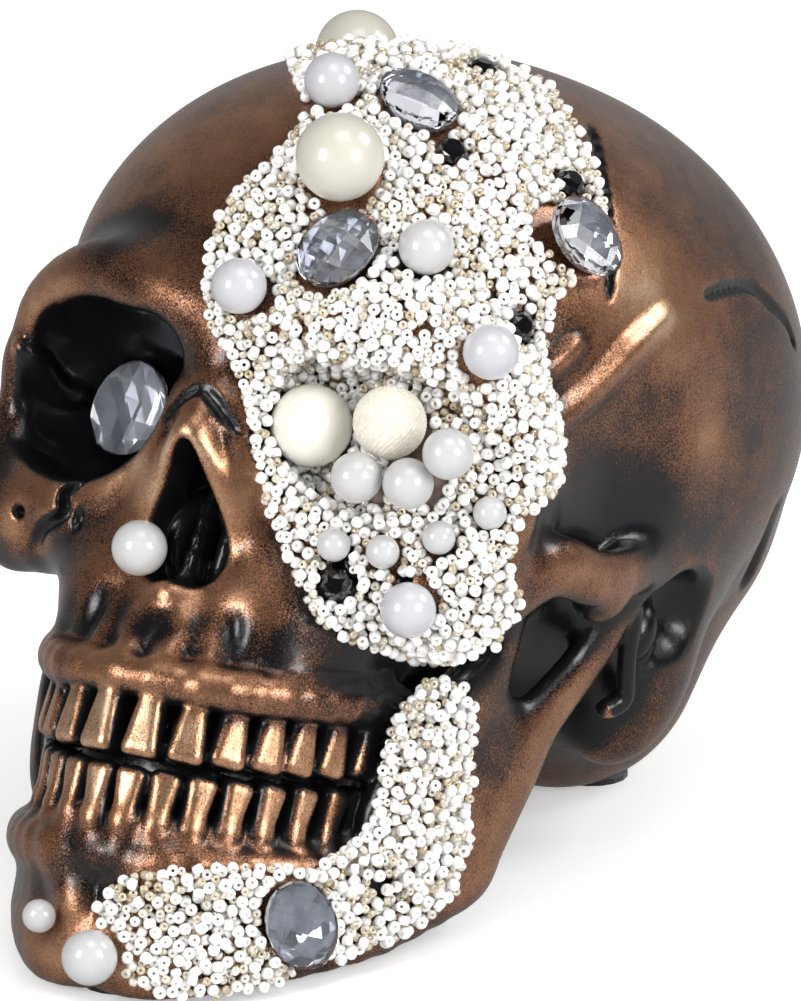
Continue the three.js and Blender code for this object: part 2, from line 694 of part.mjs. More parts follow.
// Cells through which the surface would pass twice lose a corner of the solid, so that it closes
// as one simple sheet everywhere
function untangle(values, stepOf, count) {
  const joined = (mask) => {
    let found = mask & -mask;
    for (let round = 0; round < 8; round += 1) {
      for (const [from, to] of cubeEdges) {
        const pair = (1 << from) | (1 << to);
        if ((mask & pair) === pair && found & pair) found |= pair;
      }
    }
    return found === mask;
  };
  const sides = [[1, 2, 4], [2, 4, 1], [4, 1, 2]].flatMap(([one, two, off]) =>
    [0, off].map((at) => [at, at | one, at | two, at | one | two]));
  const crossed = (mask) => sides.some((side) => {
    const bits = side.map((corner) => (mask >> corner) & 1);
    return bits[0] === bits[3] && bits[1] === bits[2] && bits[0] !== bits[1];
  });
  const simple = Array.from({ length: 256 }, (_, mask) =>
    mask === 0 || mask === 255 || (joined(mask) && joined(255 - mask) && !crossed(mask)));
  for (let changed = true; changed;) {
    changed = false;
    forEachCell(count, (base) => {
      let mask = 0;
      for (const corner of cubeCorners) mask |= values[base + stepOf[corner]] < 0 ? 1 << corner : 0;
      if (simple[mask]) return;
      let weakest = -Infinity;
      let place = -1;
      for (const corner of cubeCorners) {
        const value = values[base + stepOf[corner]];
        if (value < 0 && value > weakest) {
          weakest = value;
          place = base + stepOf[corner];
        }
      }
      values[place] = -weakest;
      changed = true;
    });
  }
}

// Keep the largest closed body of a surface and leave sealed bubbles and crumbs out
function largestBody({ positions, triangles }) {
  const parent = Array.from({ length: positions.length / 3 }, (_, i) => i);
  const rootOf = (v) => {
    let r = v;
    while (parent[r] !== r) {
      parent[r] = parent[parent[r]];
      r = parent[r];
    }
    return r;
  };
  for (let t = 0; t < triangles.length; t += 3) {
    parent[rootOf(triangles[t + 1])] = rootOf(triangles[t]);
    parent[rootOf(triangles[t + 2])] = rootOf(triangles[t]);
  }
  const volumes = new Map();
  for (let t = 0; t < triangles.length; t += 3) {
    const [a, b, c] = [0, 1, 2].map((k) => triangles[t + k] * 3);
    const p = positions;
    const volume =
      p[a] * (p[b + 1] * p[c + 2] - p[b + 2] * p[c + 1]) +
      p[a + 1] * (p[b + 2] * p[c] - p[b] * p[c + 2]) +
      p[a + 2] * (p[b] * p[c + 1] - p[b + 1] * p[c]);
    const root = rootOf(triangles[t]);
    volumes.set(root, (volumes.get(root) ?? 0) + volume);
  }
  const [best] = [...volumes.entries()].sort((one, two) => two[1] - one[1])[0];
  const kept = new Map();
  const body = { positions: [], triangles: [] };
  for (let t = 0; t < triangles.length; t += 3) {
    if (rootOf(triangles[t]) !== best) continue;
    for (let k = 0; k < 3; k += 1) {
      const v = triangles[t + k];
      if (!kept.has(v)) {
        kept.set(v, body.positions.length / 3);
        body.positions.push(positions[v * 3], positions[v * 3 + 1], positions[v * 3 + 2]);
      }
      body.triangles.push(kept.get(v));
    }
  }
  return body;
}

// Merge edges of a closed surface, cheapest first by squared distance to the planes they carry,
// until it has no more than the wanted number of triangles
function mergeFacets({ positions, triangles }, wanted) {
  const places = Float64Array.from(positions);
  const vertexCount = places.length / 3;
  const faces = Int32Array.from(triangles);
  const faceCount = faces.length / 3;
  const aliveFace = new Uint8Array(faceCount).fill(1);
  const aliveVertex = new Uint8Array(vertexCount).fill(1);
  const around = Array.from({ length: vertexCount }, () => []);
  const errors = new Float64Array(vertexCount * 10);
  for (let f = 0; f < faceCount; f += 1) {
    for (let k = 0; k < 3; k += 1) around[faces[f * 3 + k]].push(f);
    addPlane(errors, places, faces, f);
  }
  const heap = new EdgeHeap();
  const stamp = new Int32Array(vertexCount);
  const target = [0, 0, 0];
  const push = (a, b) => heap.push(edgeCost(errors, places, a, b, target), a, b, stamp[a] + stamp[b]);
  const pushAll = () => {
    for (let f = 0; f < faceCount; f += 1) {
      if (!aliveFace[f]) continue;
      for (let k = 0; k < 3; k += 1) {
        const a = faces[f * 3 + k];
        const b = faces[f * 3 + ((k + 1) % 3)];
        if (a < b) push(a, b);
      }
    }
  };
  let left = faceCount;
  let leftBefore = Infinity;
  while (left > wanted) {
    if (heap.size === 0) {
      if (left === leftBefore) break;
      leftBefore = left;
      pushAll();
    }
    const { a, b, mark } = heap.pop();
    if (!aliveVertex[a] || !aliveVertex[b] || mark !== stamp[a] + stamp[b]) continue;
    edgeCost(errors, places, a, b, target);
    if (!canMerge(places, faces, around, a, b, target)) continue;
    for (let k = 0; k < 3; k += 1) places[a * 3 + k] = target[k];
    for (let k = 0; k < 10; k += 1) errors[a * 10 + k] += errors[b * 10 + k];
    for (const f of around[b]) {
      const corners = [faces[f * 3], faces[f * 3 + 1], faces[f * 3 + 2]];
      if (corners.includes(a)) {
        aliveFace[f] = 0;
        left -= 1;
        const third = corners.find((v) => v !== a && v !== b);
        around[third] = around[third].filter((g) => g !== f);
      } else {
        faces[f * 3 + corners.indexOf(b)] = a;
        around[a].push(f);
      }
    }
    around[a] = around[a].filter((f) => aliveFace[f]);
    around[b] = [];
    aliveVertex[b] = 0;
    stamp[a] += 1;
    const neighbours = new Set();
    for (const f of around[a]) for (let k = 0; k < 3; k += 1) neighbours.add(faces[f * 3 + k]);
    neighbours.delete(a);
    for (const n of neighbours) push(a, n);
  }
  const kept = new Map();
  const merged = { positions: [], triangles: [] };
  for (let f = 0; f < faceCount; f += 1) {
    if (!aliveFace[f]) continue;
    for (let k = 0; k < 3; k += 1) {
      const v = faces[f * 3 + k];
      if (!kept.has(v)) {
        kept.set(v, merged.positions.length / 3);
        merged.positions.push(places[v * 3], places[v * 3 + 1], places[v * 3 + 2]);
      }
      merged.triangles.push(kept.get(v));
    }
  }
  return merged;
}

// Add a triangle's plane, weighted by its area, to the errors of its corners
function addPlane(errors, places, faces, f) {
  const [a, b, c] = [0, 1, 2].map((k) => faces[f * 3 + k] * 3);
  const ux = places[b] - places[a];
  const uy = places[b + 1] - places[a + 1];
  const uz = places[b + 2] - places[a + 2];
  const vx = places[c] - places[a];
  const vy = places[c + 1] - places[a + 1];
  const vz = places[c + 2] - places[a + 2];
  const nx = uy * vz - uz * vy;
  const ny = uz * vx - ux * vz;
  const nz = ux * vy - uy * vx;
  const size = Math.hypot(nx, ny, nz);
  if (size === 0) return;
  const n = [nx / size, ny / size, nz / size];
  n.push(-(n[0] * places[a] + n[1] * places[a + 1] + n[2] * places[a + 2]));
  for (const corner of [a, b, c]) {
    let slot = (corner / 3) * 10;
    for (let i = 0; i < 4; i += 1) {
      for (let j = i; j < 4; j += 1) {
        errors[slot] += size * n[i] * n[j];
        slot += 1;
      }
    }
  }
}

// Cost of merging an edge, with the best place for the merged corner left in target
function edgeCost(errors, places, a, b, target) {
  const q = new Array(10);
  for (let k = 0; k < 10; k += 1) q[k] = errors[a * 10 + k] + errors[b * 10 + k];
  const [xx, xy, xz, xw, yy, yz, yw, zz, zw, ww] = q;
  const costAt = (x, y, z) =>
    xx * x * x + 2 * xy * x * y + 2 * xz * x * z + 2 * xw * x + yy * y * y +
    2 * yz * y * z + 2 * yw * y + zz * z * z + 2 * zw * z + ww;
  const middle = [0, 1, 2].map((k) => (places[a * 3 + k] + places[b * 3 + k]) / 2);
  const lengthSquared = [0, 1, 2].reduce((sum, k) => sum + (places[a * 3 + k] - places[b * 3 + k]) ** 2, 0);
  const cx = yy * zz - yz * yz;
  const cy = xz * yz - xy * zz;
  const cz = xy * yz - xz * yy;
  const whole = xx * cx + xy * cy + xz * cz;
  const size = (xx + yy + zz) / 3;
  if (Math.abs(whole) > 1e-4 * size * size * size) {
    const x = -(cx * xw + cy * yw + cz * zw) / whole;
    const y = -(cy * xw + (xx * zz - xz * xz) * yw + (xy * xz - xx * yz) * zw) / whole;
    const z = -(cz * xw + (xy * xz - xx * yz) * yw + (xx * yy - xy * xy) * zw) / whole;
    const offSquared = (x - middle[0]) ** 2 + (y - middle[1]) ** 2 + (z - middle[2]) ** 2;
    if (offSquared < lengthSquared) {
      target[0] = x;
      target[1] = y;
      target[2] = z;
      return Math.max(costAt(x, y, z), 0) + 1e-8 * lengthSquared;
    }
  }
  let best = Infinity;
  const ends = [middle, [0, 1, 2].map((k) => places[a * 3 + k]), [0, 1, 2].map((k) => places[b * 3 + k])];
  for (const end of ends) {
    const cost = costAt(...end);
    if (cost < best) {
      best = cost;
      for (let k = 0; k < 3; k += 1) target[k] = end[k];
    }
  }
  return Math.max(best, 0) + 1e-8 * lengthSquared;
}

// An edge may merge where that keeps the surface closed and simple and folds no triangle over
function canMerge(places, faces, around, a, b, target) {
  const ring = (v) => {
    const found = new Set();
    for (const f of around[v]) for (let k = 0; k < 3; k += 1) found.add(faces[f * 3 + k]);
    found.delete(v);
    return found;
  };
  const ringA = ring(a);
  const ringB = ring(b);
  let shared = 0;
  for (const v of ringA) shared += ringB.has(v) ? 1 : 0;
  if (shared !== 2 || ringA.size + ringB.size < 8) return false;
  for (const v of [a, b]) {
    for (const f of around[v]) {
      const corners = [faces[f * 3], faces[f * 3 + 1], faces[f * 3 + 2]];
      if (corners.includes(a) && corners.includes(b)) continue;
      const at = corners.indexOf(v);
      const one = corners[(at + 1) % 3] * 3;
      const two = corners[(at + 2) % 3] * 3;
      const ex = places[two] - places[one];
      const ey = places[two + 1] - places[one + 1];
      const ez = places[two + 2] - places[one + 2];
      const normalFrom = (px, py, pz) => {
        const wx = px - places[one];
        const wy = py - places[one + 1];
        const wz = pz - places[one + 2];
        return [ey * wz - ez * wy, ez * wx - ex * wz, ex * wy - ey * wx, wx * wx + wy * wy + wz * wz];
      };
      const before = normalFrom(places[v * 3], places[v * 3 + 1], places[v * 3 + 2]);
      const after = normalFrom(target[0], target[1], target[2]);
      const dot = before[0] * after[0] + before[1] * after[1] + before[2] * after[2];
      const sizeBefore = Math.hypot(before[0], before[1], before[2]);
      const sizeAfter = Math.hypot(after[0], after[1], after[2]);
      if (dot < 0.2 * sizeBefore * sizeAfter) return false;
      const edge = ex * ex + ey * ey + ez * ez;
      const shapeBefore = sizeBefore / Math.max(before[3], edge);
      const shapeAfter = sizeAfter / Math.max(after[3], edge);
      if (shapeAfter < 0.05 && shapeAfter < shapeBefore) return false;
    }
  }
  return true;
}

// A binary heap of edges, cheapest on top
class EdgeHeap {
  constructor() {
    this.items = [];
  }

  get size() {
    return this.items.length;
  }

  push(cost, a, b, mark) {
    const item = { cost, a, b, mark };
    const { items } = this;
    let at = items.length;
    items.push(item);
    while (at > 0) {
      const up = (at - 1) >> 1;
      if (items[up].cost <= cost) break;
      items[at] = items[up];
      at = up;
    }
    items[at] = item;
  }

  pop() {
    const { items } = this;
    const top = items[0];
    const last = items.pop();
    if (items.length > 0) {
      let at = 0;
      for (;;) {
        let down = at * 2 + 1;
        if (down >= items.length) break;
        if (down + 1 < items.length && items[down + 1].cost < items[down].cost) down += 1;
        if (items[down].cost >= last.cost) break;
        items[at] = items[down];
        at = down;
      }
      items[at] = last;
    }
    return top;
  }
}

// Solids and geometries
const toRest = (x, y, z) =>
  new THREE.Vector3(x, y, z).multiplyScalar(headUnit).applyMatrix4(headToRest).add(restLift);
const restLift = new THREE.Vector3(0, 0, padThickness + padSeat - restLevelShare * headUnit);

function restGeometry({ positions, triangles }) {
  const geometry = new THREE.BufferGeometry();
  const placed = new Float32Array(positions.length);
  for (let i = 0; i < positions.length; i += 3) {
    toRest(positions[i], positions[i + 1], positions[i + 2]).toArray(placed, i);
  }
  geometry.setAttribute('position', new THREE.BufferAttribute(placed, 3));
  geometry.setIndex(triangles);
  return geometry;
}

function toSolid(geometry) {
  const bare = geometry.clone();
  bare.deleteAttribute('normal');
  bare.deleteAttribute('uv');
  const merged = mergeVertices(bare);
  return new wasm.Manifold(new wasm.Mesh({
    numProp: 3,
    vertProperties: merged.attributes.position.array,
    triVerts: Uint32Array.from(merged.index.array),
  }));
}

function toGeometry(solid) {
  const mesh = solid.getMesh();
  const geometry = new THREE.BufferGeometry();
  geometry.setAttribute('position', new THREE.BufferAttribute(mesh.vertProperties, 3));
  geometry.setIndex(new THREE.BufferAttribute(mesh.triVerts, 1));
  return geometry;
}

// The casting, trimmed flat where it stands on its pads
function castingGeometry() {
  const grid = castingGrid(castingBoxShares.low, castingBoxShares.high, castingCell / headUnit);
  const body = mergeFacets(largestBody(surfaceOf(grid)), castingFacets);
  const tableSpan = headUnit * tableSpanShare;
  const table = new THREE.BoxGeometry(tableSpan, tableSpan, headUnit);
  table.translate(0, 0, padThickness + padSeat - headUnit / 2);
  return toGeometry(toSolid(restGeometry(body)).subtract(toSolid(table)));
}

// Picture places: the point of the view plane under a pixel, and the way to the camera
const viewPlane = ([px, py]) => {
  const right = (px - viewCentrePixels[0]) / viewPixelsPerUnit;
  const up = (viewCentrePixels[1] - py) / viewPixelsPerUnit;
  return viewRight.clone().multiplyScalar(right).addScaledVector(viewUp, up);
};

const socketBed = ballForm(socketBedShares);
const bedDistance = (x, y, z) => socketBed.distance(x, y, z);
const baseDistance = (x, y, z) => Math.min(castingDistance(x, y, z), bedDistance(x, y, z));

// Move in from the camera along a pixel's line until the distance to what is there is as wanted.
// A line that passes by is left where it comes nearest, and the way on is straight to what is there.
// What stands behind the skull's skyline is moved in from behind instead.
function seatAlong(pixels, wanted, distance, behind = false) {
  const start = viewPlane(pixels);
  const point = new THREE.Vector3();
  const nearest = new THREE.Vector3();
  const mostSteps = 400;
  const caution = 0.7;
  const way = behind ? 1 : -1;
  let depth = behind ? lastDepthShare : cameraDepthShare;
  let least = Infinity;
  for (let step = 0; step < mostSteps && depth >= lastDepthShare && depth <= cameraDepthShare; step += 1) {
    point.copy(start).addScaledVector(viewBack, depth);
    const left = distance(point.x, point.y, point.z) - wanted;
    if (left < touchShare) return point;
    if (left < least) nearest.copy(point);
    least = Math.min(least, left);
    depth += way * Math.min(left * caution, longestStrideShare);
  }
  for (let step = 0; step < mostSteps && least > touchShare; step += 1) {
    nearest.addScaledVector(outwardAt(nearest, touchShare, distance), -least * caution);
    least = distance(nearest.x, nearest.y, nearest.z) - wanted;
  }
  return nearest;
}

// Way out of the casting at a point, read over a small reach so that fine relief averages out
function outwardAt(point, reach, distance) {
  const axis = (dx, dy, dz) =>
    distance(point.x + dx, point.y + dy, point.z + dz) - distance(point.x - dx, point.y - dy, point.z - dz);
  return new THREE.Vector3(axis(reach, 0, 0), axis(0, reach, 0), axis(0, 0, reach)).normalize();
}

const materials = {
  casting: new THREE.MeshStandardMaterial({ color: 0x8a5a3c, roughness: 0.35, metalness: 0.6 }),
  cream: new THREE.MeshStandardMaterial({ color: 0xf1ede0, roughness: 0.18, metalness: 0 }),
  white: new THREE.MeshStandardMaterial({ color: 0xeeecef, roughness: 0.18, metalness: 0 }),
  sugar: new THREE.MeshStandardMaterial({ color: 0xf3ecd9, roughness: 0.7, metalness: 0 }),
  clear: new THREE.MeshStandardMaterial({ color: 0xc9d0dc, roughness: 0.04, metalness: 0.3 }),
  black: new THREE.MeshStandardMaterial({ color: 0x101012, roughness: 0.06, metalness: 0 }),
  beads: new THREE.MeshStandardMaterial({ color: 0xe9e4d8, roughness: 0.35, metalness: 0.1 }),
  glue: new THREE.MeshStandardMaterial({ color: 0xcfc9bb, roughness: 0.5, metalness: 0 }),
  felt: new THREE.MeshStandardMaterial({ color: 0x16161a, roughness: 0.95, metalness: 0 }),
};

const skull = new THREE.Group();

function addPiece(name, geometry, material, position, rotation) {
  const mesh = new THREE.Mesh(geometry, material);
  mesh.name = name;
  if (position) mesh.position.copy(position);
  if (rotation) mesh.quaternion.copy(rotation);
  skull.add(mesh);
  return mesh;
}

// Pearls are seated one after another, each on the casting and clear of those before it
const settled = [];

function seatedDistance(x, y, z) {
  let d = baseDistance(x, y, z);
  for (const ball of settled) {
    d = Math.min(d, Math.hypot(x - ball.at.x, y - ball.at.y, z - ball.at.z) - ball.radius);
  }
  return d;
}

// Directions spread evenly over a ball
const ballWays = 90;
const ballDirections = Array.from({ length: ballWays }, (_, i) => {
  const up = 1 - (2 * i + 1) / ballWays;
  const angle = i * Math.PI * (3 - Math.sqrt(5));
  const across = Math.sqrt(1 - up * up);
  return new THREE.Vector3(across * Math.cos(angle), across * Math.sin(angle), up);
});

// The least distance from a ball's skin to what is there
function skinDistance(x, y, z, radius) {
  let least = Infinity;
  for (const way of ballDirections) {
    least = Math.min(least, baseDistance(x + way.x * radius, y + way.y * radius, z + way.z * radius));
  }
  for (const ball of settled) {
    least = Math.min(least, Math.hypot(x - ball.at.x, y - ball.at.y, z - ball.at.z) - ball.radius - radius);
  }
  return least;
}

function addPearls() {
  for (const place of pearlPlaces) {
    const radius = place.size / 2 / headUnit;
    const skin = (x, y, z) => skinDistance(x, y, z, radius);
    const at = seatAlong(place.pixels, glueGap / headUnit, skin, place.behind);
    settled.push({ at, radius, out: outwardAt(at, radius / 2, baseDistance) });
    const detail = place.size > smallPearl ? 2 : 1;
    const geometry = new THREE.IcosahedronGeometry(place.size / 2, detail);
    addPiece(place.name, geometry, materials[place.colour], toRest(at.x, at.y, at.z));
  }
}

// A cut stone: rings of corners that step half a corner round, so that its faces are triangles,
// with a flat back and a flat table. It stands along +Z from its back.
function stoneGeometry([width, length, thickness], sides) {
  const positions = [];
  stoneRingShares.forEach(([across, up], ring) => {
    for (let i = 0; i < sides; i += 1) {
      const angle = ((i + ring / 2) / sides) * Math.PI * 2;
      positions.push(
        (Math.cos(angle) * across * width) / 2,
        (Math.sin(angle) * across * length) / 2,
        up * thickness,
      );
    }
  });
  const triangles = [];
  for (let ring = 0; ring + 1 < stoneRingShares.length; ring += 1) {
    for (let i = 0; i < sides; i += 1) {
      const a = ring * sides + i;
      const b = ring * sides + ((i + 1) % sides);
      const c = a + sides;
      const d = b + sides;
      triangles.push(a, b, c, b, d, c);
    }
  }
  const last = (stoneRingShares.length - 1) * sides;
  for (let i = 1; i + 1 < sides; i += 1) {
    triangles.push(0, i + 1, i);
    triangles.push(last, last + i, last + i + 1);
  }
  const geometry = new THREE.BufferGeometry();
  geometry.setAttribute('position', new THREE.Float32BufferAttribute(positions, 3));
  geometry.setIndex(triangles);
  return geometry;
}

// A stone's back lies on the surface under its pixel: it rises until its whole rim is clear
function addStone(place, size, sides, material) {
  const [width, length, thickness] = size;
  const foot = seatAlong(place.pixels, glueGap / headUnit, seatedDistance);
  const reach = Math.min(width, length) / 4 / headUnit;
  const out = outwardAt(foot, reach, baseDistance);
  const [leanRight, leanUp, leanBack] = place.lean ?? [0, 0, 0];
  out.addScaledVector(viewRight, leanRight).addScaledVector(viewUp, leanUp);
  out.addScaledVector(viewBack, leanBack).normalize();
  const turn = new THREE.Quaternion().setFromUnitVectors(new THREE.Vector3(0, 0, 1), out);
  const spin = THREE.MathUtils.degToRad(place.turn ?? 0);
  turn.multiply(new THREE.Quaternion().setFromAxisAngle(new THREE.Vector3(0, 0, 1), spin));
  const rims = [];
  for (let i = 0; i < sides; i += 1) {
    const angle = (i / sides) * Math.PI * 2;
    for (const [share, up] of stoneSeatShares) {
      rims.push(new THREE.Vector3(
        (Math.cos(angle) * share * width) / 2,
        (Math.sin(angle) * share * length) / 2,
        up * thickness,
      ).divideScalar(headUnit).applyQuaternion(turn));
    }
  }
  const clear = () => {
    let least = Infinity;
    for (const rim of rims) {
      least = Math.min(least, seatedDistance(foot.x + rim.x, foot.y + rim.y, foot.z + rim.z));
    }
    return least - glueGap / headUnit;
  };
  const mostSteps = 60;
  for (let step = 0; step < mostSteps && clear() < 0; step += 1) {
    foot.addScaledVector(out, touchShare - clear());
  }
  const inRest = new THREE.Quaternion().setFromRotationMatrix(headToRest).multiply(turn);
  addPiece(place.name, stoneGeometry(size, sides), material, toRest(foot.x, foot.y, foot.z), inRest);
  const halfWidth = width / 2 / headUnit;
  const halfLength = length / 2 / headUnit;
  stones.push({ at: foot.clone(), out, turn: turn.clone().invert(), halfWidth, halfLength });
}

const stones = [];

// Crusts: a layer over the casting, inside an outline of the photographed view, on what shows
// there first, open round each pearl and stone
function outlineOf(pixels) {
  const points = pixels.map(([px, py]) => new THREE.Vector3(
    (px - viewCentrePixels[0]) / viewPixelsPerUnit,
    (viewCentrePixels[1] - py) / viewPixelsPerUnit,
    0,
  ));
  return new THREE.CatmullRomCurve3(points, true).getPoints(pixels.length * 3).slice(0, -1);
}

function outlineDistance(outline, right, up) {
  let nearest = Infinity;
  let inside = false;
  for (let i = 0, j = outline.length - 1; i < outline.length; j = i, i += 1) {
    const a = outline[i];
    const b = outline[j];
    const ex = b.x - a.x;
    const ey = b.y - a.y;
    const t = Math.min(Math.max(((right - a.x) * ex + (up - a.y) * ey) / (ex * ex + ey * ey), 0), 1);
    nearest = Math.min(nearest, Math.hypot(right - a.x - t * ex, up - a.y - t * ey));
    if (a.y > up !== b.y > up && right < (ex * (up - a.y)) / ey + a.x) inside = !inside;
  }
  return inside ? -nearest : nearest;
}

// How near to the camera the surface lies, over the box of an outline
function frontDepths(outline, step) {
  const xs = outline.map((p) => p.x);
  const ys = outline.map((p) => p.y);
  const low = [Math.min(...xs) - step, Math.min(...ys) - step];
  const columns = Math.ceil((Math.max(...xs) - low[0]) / step) + 2;
  const rows = Math.ceil((Math.max(...ys) - low[1]) / step) + 2;
  const depths = new Float32Array(columns * rows);
  const mostSteps = 120;
  const caution = 0.8;
  const point = new THREE.Vector3();
  for (let i = 0; i < columns; i += 1) {
    for (let j = 0; j < rows; j += 1) {
      let depth = cameraDepthShare;
      for (let s = 0; s < mostSteps && depth > lastDepthShare; s += 1) {
        point.copy(viewRight).multiplyScalar(low[0] + i * step);
        point.addScaledVector(viewUp, low[1] + j * step).addScaledVector(viewBack, depth);
        const d = baseDistance(point.x, point.y, point.z);
        if (d < frontTouchShare) break;
        depth -= Math.min(d * caution, longestStrideShare);
      }
      depths[i * rows + j] = depth;
    }
  }
  return (right, up) => {
    const i = Math.min(Math.max(Math.round((right - low[0]) / step), 0), columns - 1);
    const j = Math.min(Math.max(Math.round((up - low[1]) / step), 0), rows - 1);
    return depths[i * rows + j];
  };
}

function crustGeometry(outlinePixels, wantedFacets) {
  const outline = outlineOf(outlinePixels);
  const cell = crustCell / headUnit;
  const front = frontDepths(outline, cell);
  const thick = crustThickness / headUnit;
  const lift = crustLift / headUnit;
  const relief = crustRelief / 2 / headUnit;
  const wave = (Math.PI * 2 * headUnit) / crustReliefPitch;
  const gap = crustClearance / headUnit;
  const edge = cell * 3;
  const box = new THREE.Box3();
  const middle = new THREE.Box3().setFromPoints(outline).getCenter(new THREE.Vector3());
  for (const rim of outline) {
    for (const way of [rim, rim.clone().lerp(middle, 0.5)]) {
      const place = viewRight.clone().multiplyScalar(way.x).addScaledVector(viewUp, way.y);
      const depth = front(way.x, way.y);
      for (const reach of [-crustReachShare, crustReachShare]) {
        const deepest = Math.max(depth + reach, -crustReachShare);
        box.expandByPoint(place.clone().addScaledVector(viewBack, deepest));
      }
    }
  }
  box.expandByScalar(edge);
  const grid = castingGrid(box.min.toArray(), box.max.toArray(), cell);
  const { count, low, values } = grid;
  const point = new THREE.Vector3();
  for (let n = 0, i = 0; i < count[0]; i += 1) {
    for (let j = 0; j < count[1]; j += 1) {
      for (let k = 0; k < count[2]; k += 1, n += 1) {
        point.set(low[0] + i * cell, low[1] + j * cell, low[2] + k * cell);
        const base = Math.min(values[n], bedDistance(point.x, point.y, point.z));
        const here = thick + relief * clusterHeight(point, wave);
        const layer = Math.abs(base - lift - here / 2) - here / 2;
        if (layer > edge) {
          values[n] = layer;
          continue;
        }
        const right = point.dot(viewRight);
        const up = point.dot(viewUp);
        const behind = front(right, up) - edge - point.dot(viewBack);
        let d = -melt(-layer, -outlineDistance(outline, right, up), crustEdgeBlendShare);
        d = Math.max(d, behind);
        for (const ball of settled) d = Math.max(d, -holeDistance(ball, point, thick, gap));
        for (const stone of stones) d = Math.max(d, -stoneHoleDistance(stone, point, gap));
        values[n] = d;
      }
    }
  }
  return restGeometry(mergeFacets(largestBody(surfaceOf(grid)), wantedFacets));
}

// Raised clusters of beads, from -1 to 1: waves that cross along slanted ways
const clusterWays = [[0.78, 0.43, 0.46], [-0.55, 0.81, 0.19], [-0.29, -0.4, 0.87]];

function clusterHeight({ x, y, z }, wave) {
  const total = clusterWays.reduce(
    (sum, way) => sum + Math.sin((x * way[0] + y * way[1] + z * way[2]) * wave), 0);
  return Math.min(Math.max(total, -1), 1);
}

const holeDepth = 1.5; // of what is glued on, in its own radii

// The hole that a pearl leaves in the layer: as wide as the ball is at the layer's face
function holeDistance(ball, point, thick, gap) {
  const dx = point.x - ball.at.x;
  const dy = point.y - ball.at.y;
  const dz = point.z - ball.at.z;
  const sunk = Math.min(thick + gap, ball.radius);
  const half = Math.sqrt(2 * ball.radius * sunk - sunk * sunk) + gap;
  const along = Math.min(dx * ball.out.x + dy * ball.out.y + dz * ball.out.z, 0);
  const reach = Math.max(along, -ball.radius * holeDepth);
  const hole = Math.hypot(dx - reach * ball.out.x, dy - reach * ball.out.y, dz - reach * ball.out.z) - half;
  return Math.min(hole, Math.hypot(dx, dy, dz) - ball.radius - gap);
}

function stoneHoleDistance(stone, point, gap) {
  const local = point.clone().sub(stone.at).applyQuaternion(stone.turn);
  const across = Math.hypot(local.x / (stone.halfWidth + gap), local.y / (stone.halfLength + gap));
  const side = (across - 1) * Math.min(stone.halfWidth, stone.halfLength);
  return Math.max(side, Math.abs(local.z) - stone.halfWidth * holeDepth);
}

// The bed of glue behind the pearls of the beaded socket
function socketBedGeometry() {
  const cell = bedCell / headUnit;
  const low = socketBed.low.map((v) => v - cell * 2);
  const high = socketBed.high.map((v) => v + cell * 2);
  const grid = castingGrid(low, high, cell);
  const { count, values } = grid;
  const gap = (glueGap * 2) / headUnit;
  for (let n = 0, i = 0; i < count[0]; i += 1) {
    for (let j = 0; j < count[1]; j += 1) {
      for (let k = 0; k < count[2]; k += 1, n += 1) {
        const bed = bedDistance(low[0] + i * cell, low[1] + j * cell, low[2] + k * cell);
        values[n] = Math.max(bed, gap - values[n]);
      }
    }
  }
  return restGeometry(mergeFacets(largestBody(surfaceOf(grid)), bedFacets));
}

function addPads() {
  for (const pad of padPlaceShares) {
    const geometry = new THREE.CylinderGeometry(padDiameter / 2, padDiameter / 2, padThickness, padSides);
    geometry.rotateX(Math.PI / 2);
    const position = new THREE.Vector3(pad.at[0] * headUnit, pad.at[1] * headUnit, padThickness / 2);
    addPiece(pad.name, geometry, materials.felt, position);
  }
}

addPiece('skull_casting', castingGeometry(), materials.casting);
addPiece('socket_glue_bed', socketBedGeometry(), materials.glue);
addPearls();
for (const place of stonePlaces) {
  addStone(place, [ovalStoneWidth, ovalStoneLength, stoneThickness], 12, materials.clear);
}
for (const place of blackStonePlaces) {
  addStone(place, [blackStoneWidth, blackStoneWidth, blackStoneThickness], 8, materials.black);
}
addPiece('bead_crust_face', crustGeometry(faceCrustPixels, faceCrustFacets), materials.beads);
addPiece('bead_crust_jaw', crustGeometry(jawCrustPixels, jawCrustFacets), materials.beads);
addPads();

// The origin lies under the middle of the whole decoration
const extent = new THREE.Box3().setFromObject(skull);
const part = new THREE.Group();
skull.position.set(-(extent.min.x + extent.max.x) / 2, -(extent.min.y + extent.max.y) / 2, 0);
part.add(skull);

export default part;
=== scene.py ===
"""Halloween skull decoration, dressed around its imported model: a cast skull in gloss black that is
dry-brushed with copper, half its face set with pearls, cut stones and seed beads. Metres, +Z up.
The face looks along -Y, and +X is the skull's own left, which is the beaded side."""

import math
from itertools import product

